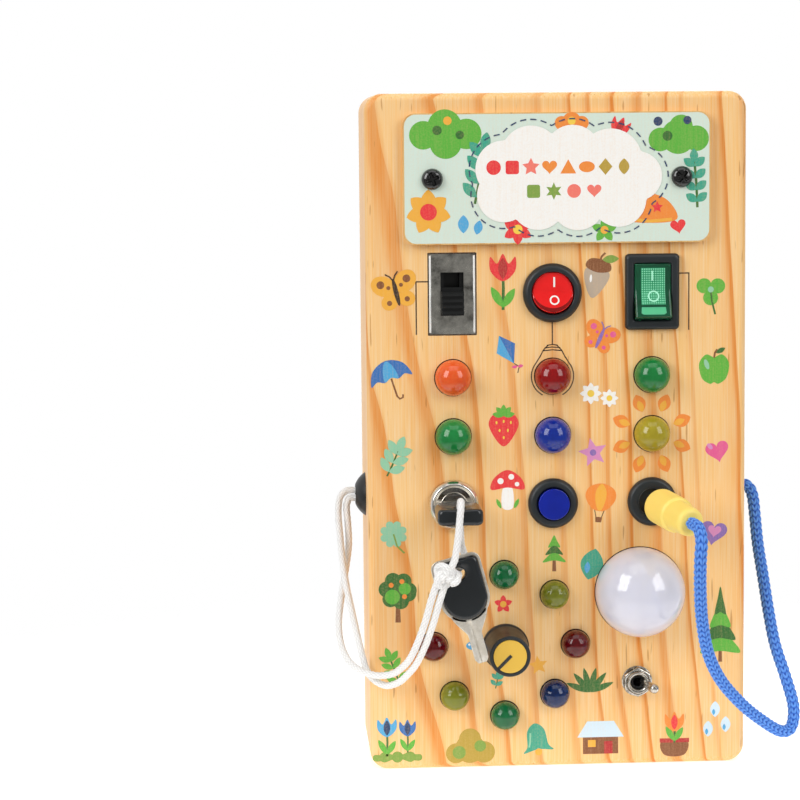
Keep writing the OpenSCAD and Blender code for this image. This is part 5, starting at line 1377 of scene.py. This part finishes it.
motif(-15.4, 46.6, *flower(0.9, "amber", "red", 2.6, 1.6, 5))
motif(-5.6, 29, ("amber", star(0, 0, 2.8, 1.3, 5, 8)))
motif(-17.4, 24.4, *sprig("teal", 0.35, 2, 2.2, 1.2, 3.6), turn=-10)
motif(-24, 35, ("sky", oval(0, 0, 1.9, 1.2)), ("sky", star(2.4, 0, 1.3, 0.7, 3, 90)),
      ("white", oval(-1.0, 0.3, 0.32)))
WIRE_AND_SHADE_INK, LINE, SLIDE_GAP_SHADE_WIDTH = "dark", 0.36, 0.34
SLIDE_LEFT, GREEN_RIGHT = SLIDE_AT[0] - SLIDE_W / 2, GREEN_AT[0] + SQUARE_W / 2
for points in ([(SLIDE_LEFT, 137.3), (SLIDE_LEFT - 3.6, 137.3)],
               [(SLIDE_LEFT - 3.6, 137.48), (SLIDE_LEFT - 3.6, 122.6)],
               [(GREEN_RIGHT, 138.8), (GREEN_RIGHT + 2.8, 138.8)],
               [(GREEN_RIGHT + 2.8, 138.98), (GREEN_RIGHT + 2.8, 123)],
               [(RED_AT[0], RED_AT[1] - ROUND_RIM), (RED_AT[0], 119.4)]):
    motif(0, 0, (WIRE_AND_SHADE_INK, stroke(points, LINE)))
# Dark strokes just outside the slide switch's frame are painted shade of the gap between frame and wood.
for side in (-1, 1):
    shade_x, shade_z = SLIDE_AT[0] + side * (SLIDE_W / 2 + 0.22), SLIDE_AT[1] + side * (SLIDE_H / 2 + 0.22)
    motif(0, 0, (WIRE_AND_SHADE_INK, stroke([(shade_x, SLIDE_AT[1] - 11.4), (shade_x, SLIDE_AT[1] + 11.4)], SLIDE_GAP_SHADE_WIDTH)))
    motif(0, 0, (WIRE_AND_SHADE_INK, stroke([(SLIDE_AT[0] - 6.5, shade_z), (SLIDE_AT[0] + 6.5, shade_z)], SLIDE_GAP_SHADE_WIDTH)))
BULB = place("lamp_red")
for z, half in ((8.6, 1.5), (7.9, 2.2), (7.1, 2.7)):
    motif(BULB[0], BULB[1] + z, (WIRE_AND_SHADE_INK, stroke([(-half, 0), (0, 0.25), (half, 0)], 0.32)))
for side in (-1, 1):
    a = np.radians(np.linspace(38, -62, 16))
    neck = [(side * 1.2, 8.7), (side * 2.6, 7.2), (side * 3.4, 5.6)]
    round_part = np.stack([side * 5.9 * np.cos(a), 5.9 * np.sin(a)], axis=1)
    motif(*BULB, (WIRE_AND_SHADE_INK, stroke(np.vstack([neck, round_part]), 0.32)))

# %% Pictures on the plate
PLATE_W, PLATE_H, PLATE_R = 85.0, 36.0, 3.5


def on_plate(x, z, *shapes, above=1, **more):
    """Places a picture at a distance from the middle of the plate, above its mint ground."""
    motif(PLATE_AT[0] + x, PLATE_AT[1] + z, *shapes, onto=plate_prints, above=above, **more)


on_plate(0, 0, ("plate_mint", round_box(PLATE_W - 0.7, PLATE_H - 0.7, PLATE_R - 0.3, 10)), above=0)
on_plate(-31, 11.5, *[("green", oval(x, z, r)) for x, z, r in ((-4.5, 0.4, 3), (0, 2.2, 3.6), (4.6, 0.6, 3.2),
                                                               (0.2, -1.2, 3.4))],
         ("deep_green", oval(-1.6, 1.4, 1.0)), ("deep_green", oval(3.2, 0.4, 0.9)),
         ("amber", oval(0.6, 3.4, 0.9)), size=1.3)
on_plate(-21.5, 0.5, *sprig("teal", 0.7, 4, 5.4, 2.8, 15), turn=-10)
on_plate(-35.6, -9, *flower(2.0, "red", "amber", 5.4, 3.6, 7), size=1.15)
on_plate(-11, -14, *flower(1.3, "yellow", "red", 4.2, 2.6, 6))
on_plate(-26, -12.5, ("sky", leaf(0, -2.4, 5, 3)), ("sky", leaf(3.6, -2.8, 4, 2.4, -14)))
on_plate(4, 15.4, ("orange", scallops([(0, 0, 2.6), (-2.8, -0.4, 1.9), (2.8, -0.4, 1.9)])),
         ("yellow", oval(0, 0.2, 1.1)))
on_plate(16.5, 12, *tulip("red", "deep_red", 4), size=0.95, turn=-24)
on_plate(33.5, 11, ("green", scallops([(0, 0, 3.8), (-4, -0.6, 2.6), (4, -0.4, 2.8), (0.6, 2.2, 2.6)])),
         ("deep_green", oval(-2.4, 0.2, 1.1)), ("navy", oval(-4.5, 3.4, 1.0)), ("navy", oval(2.0, 3.6, 0.9)),
         size=1.25)
on_plate(38.4, -2, *sprig("teal", 0.7, 4, 3.7, 2.3, 13), turn=4)
on_plate(25.5, -9.5, ("orange", soft([(-6, -1.6), (-4.4, 2.6), (0, 4.2), (4.4, 2.4), (6.4, -1.8),
                                      (0, -2.6)])),
         ("red", star(-2.4, 0.6, 1.5, 0.8)), ("red", star(1.8, 1.0, 1.4, 0.7)),
         ("amber", stroke([(-5, -1.6), (0, -2.2), (5.2, -1.8)], 0.7)), size=1.2)
on_plate(13, -14.4, *flower(1.1, "amber", "green", 3.6, 2.2, 5))
on_plate(33.5, -13.5, ("red", heart(0, 0, 4.6)), turn=10)
LOBES = [(0, 0, 11.4), (-17, 2.6, 7.8), (-9.5, 6.0, 8.4), (2, 6.6, 7.9), (12.5, 4.6, 8.8), (20, 0.3, 6.8),
         (14.8, -6.0, 7.6), (3.5, -7.0, 7.4), (-7.5, -6.6, 7.6), (-17, -4.6, 7.4)]
CLOUD_MOVE, CLOUD_LAYER = 2.2, 14
on_plate(CLOUD_MOVE, 0, ("white", scallops(LOBES)), above=CLOUD_LAYER)
for dash in dashes(scallops(LOBES, 1.7, 400), 1.7, 1.15, 0.36):
    on_plate(CLOUD_MOVE, 0, ("navy", dash), above=CLOUD_LAYER)
SMALL_SHAPES = (
    (-17.6, 5.15, 3.0, [
        ("red", oval(0, 0, 2.0)), ("red", round_box(3.7, 3.7, 0.7)), ("salmon", star(0, 0.1, 2.5, 1.25)),
        ("orange", heart(0, 0.2, 4.4)), ("orange", [(-2.2, -1.8), (2.2, -1.8), (0, 2.1)]),
        ("orange", oval(0, 0, 2.2, 1.5)), ("olive", [(0, 2.3), (-1.9, 0), (0, -2.3), (1.9, 0)]),
        ("olive", leaf(0, -2.2, 4.4, 2.9))]),
    (-6.6, 5.6, -3.6, [
        ("leaf", round_box(3.6, 3.6, 0.6)), ("leaf", star(0, 0, 2.4, 1.2, 6)), ("salmon", oval(0, 0, 1.9)),
        ("salmon", heart(0, 0.2, 4.2))]))
for first, step, z, shapes in SMALL_SHAPES:
    for k, shape in enumerate(shapes):
        on_plate(first + step * k, z, shape, above=CLOUD_LAYER + 1)
print("pictures:", len(wood_prints), "outlines on the wood,", len(plate_prints), "on the plate")
print_mesh("wood_pictures", wood_prints, 0.0)
print_mesh("plate_pictures", plate_prints, PLATE_T)

# %% [markdown]
# ## The pieces that keep their solids
# The block, its plate, the screws, the slide switch and everything behind the wood keep the shapes of
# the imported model, and only get their finish. The plate is cut from thin birch, pale at its edge.

# %% Finishes of the solids
BIRCH = varnished_pine("plate_birch", "#E6C793", "#DDB981", "#CBA066", "#A87C45")
PLYWOOD = varnished_pine("plywood_back", "#E3C08D", "#D9B27C", "#CC9A5E", "#A67540", 0.6)
CIRCUIT = plastic("circuit_green", "#1F6B3E", 0.35)
WRAP = plastic("battery_wrap", "#D9702A", 0.3)
TRAY = plastic("black_tray", "#1C1D1F", 0.55, grain=0.05)
WHITE_PLASTIC = plastic("white_moulded", "#E4E4E2", 0.4, grain=0.02)
GREY_SPRING = metal("spring_steel", "#B9B9B5", 0.25)
# The slide switch's base gets near-black as painted shade of the slot.
FINISHES = (
    (PINE, ("front_block",)), (PLYWOOD, ("back_panel",)), (BIRCH, ("name_plate",)),
    (NICKEL, ("slide_switch_frame", "battery_contacts")), (CHROME, ("lock_cylinder",)),
    (BLACK_AND_SLOT_SHADE, ("slide_switch_base", "slide_switch_slider")), (WHITE_PLASTIC, ("dome_base",)),
    (CIRCUIT, ("lamp_circuit_board", "ring_circuit_board")), (GREY_SPRING, ("push_button_spring",)),
    (ZINC, ("back_panel_screws", "panel_nuts", "dial_control", "dial_shaft", "dial_control_nut",
            "toggle_body", "battery_door_screws")),
    (TRAY, ("battery_tray", "battery_door")), (WRAP, ("batteries",)),
)
finish_of = {node: material for material, nodes in FINISHES for node in nodes}
for name, node in frame["nodes"].items():
    if not node.hide_render and name not in finish_of:
        print("no finish named for", name, "so it is black plastic")
    node.data.materials.clear()
    node.data.materials.append(finish_of.get(name, BLACK))

# %% [markdown]
# ## Light
# The photograph is a studio picture: two large soft lights stand in front to the left and right and
# leave two soft patches on every dome, and weaker ones above and behind fill the shadows. The room is
# white, and a pale floor carries a soft shadow.

# %% Lights, floor and background
AIM, DISTANCE = np.array([0, -0.018, 0.095]), 1.0


def softbox(name, azimuth, height, size, watts):
    """A rectangle of light at an azimuth (degrees from the front, to the right) and a height."""
    data = bpy.data.lights.new(name, "AREA")
    data.shape = "RECTANGLE"
    data.size, data.size_y = size
    data.energy = watts
    obj = bpy.data.objects.new(name, data)
    bpy.context.scene.collection.objects.link(obj)
    a, e = math.radians(azimuth), math.radians(height)
    away = np.array([math.sin(a) * math.cos(e), -math.cos(a) * math.cos(e), math.sin(e)])
    across = np.cross([0, 0, 1.0], away)
    across /= np.linalg.norm(across)
    turn = np.eye(4)
    turn[:3, :3] = np.stack([across, np.cross(away, across), away], axis=1)
    turn[:3, 3] = AIM + DISTANCE * away
    obj.matrix_world = Matrix(turn.tolist())


softbox("left_softbox", -56, 27, (0.5, 0.7), 6.1)
softbox("right_softbox", 46, 27, (0.5, 0.7), 4.4)
softbox("top_softbox", 0, 72, (0.9, 0.6), 2.0)
softbox("back_softbox", 165, 30, (0.8, 0.6), 3.4)
world = bpy.data.worlds.new("white_studio")
bpy.context.scene.world = world
world.use_nodes = True
world.node_tree.nodes.clear()
put = functools.partial(add, world)
rays = put("ShaderNodeLightPath").outputs
direct = put("ShaderNodeMath", {0: rays["Is Camera Ray"], 1: rays["Is Transmission Ray"]},
             operation="MAXIMUM")
facing = put("ShaderNodeSeparateXYZ", {0: put("ShaderNodeTexCoord").outputs["Generated"]}).outputs["Y"]
behind = put("ShaderNodeMapRange", {"Value": facing, "From Min": -0.15, "From Max": 0.25})
mirrored = put("ShaderNodeMath", {0: rays["Is Glossy Ray"], 1: behind}, operation="MULTIPLY")
seen = put("ShaderNodeMath", {0: direct, 1: mirrored}, operation="MAXIMUM")
room = put("ShaderNodeBackground", {"Color": "#F4F2EE", "Strength": 0.33})
white = put("ShaderNodeBackground", {"Color": "#FFFFFF", "Strength": 1.0})
put("ShaderNodeOutputWorld", {"Surface": put("ShaderNodeMixShader", {"Fac": seen, 1: room, 2: white})})
FLOOR_HALF, FLOOR_NEAR, FLOOR_FAR = 3000, -1500, 3000
corners = [(-FLOOR_HALF, FLOOR_NEAR, 0), (FLOOR_HALF, FLOOR_NEAR, 0),
           (FLOOR_HALF, FLOOR_FAR, 0), (-FLOOR_HALF, FLOOR_FAR, 0)]
floor = mesh_object("floor", corners, [[0, 1, 2, 3]], smooth=False, solid=False)
floor.location.z = block_low[2] * MM
FLOOR, shader, put, where = started("white_floor", Base_Color="#F7F6F4", Roughness=0.6,
                                    Emission_Color=(1, 1, 1, 1), Emission_Strength=0.45)
reach = put("ShaderNodeVectorMath", {0: where}, operation="LENGTH").outputs["Value"]
fade = put("ShaderNodeMapRange", {"Value": reach, "From Min": 0.09, "From Max": 0.26},
           interpolation_type="SMOOTHSTEP")
blend = put("ShaderNodeMixShader", {"Fac": fade, 1: shader, 2: put("ShaderNodeBsdfTransparent")})
feed(FLOOR.node_tree.nodes["Material Output"], {"Surface": blend})
floor.data.materials.append(FLOOR)
bpy.context.scene.view_settings.view_transform = "Standard"
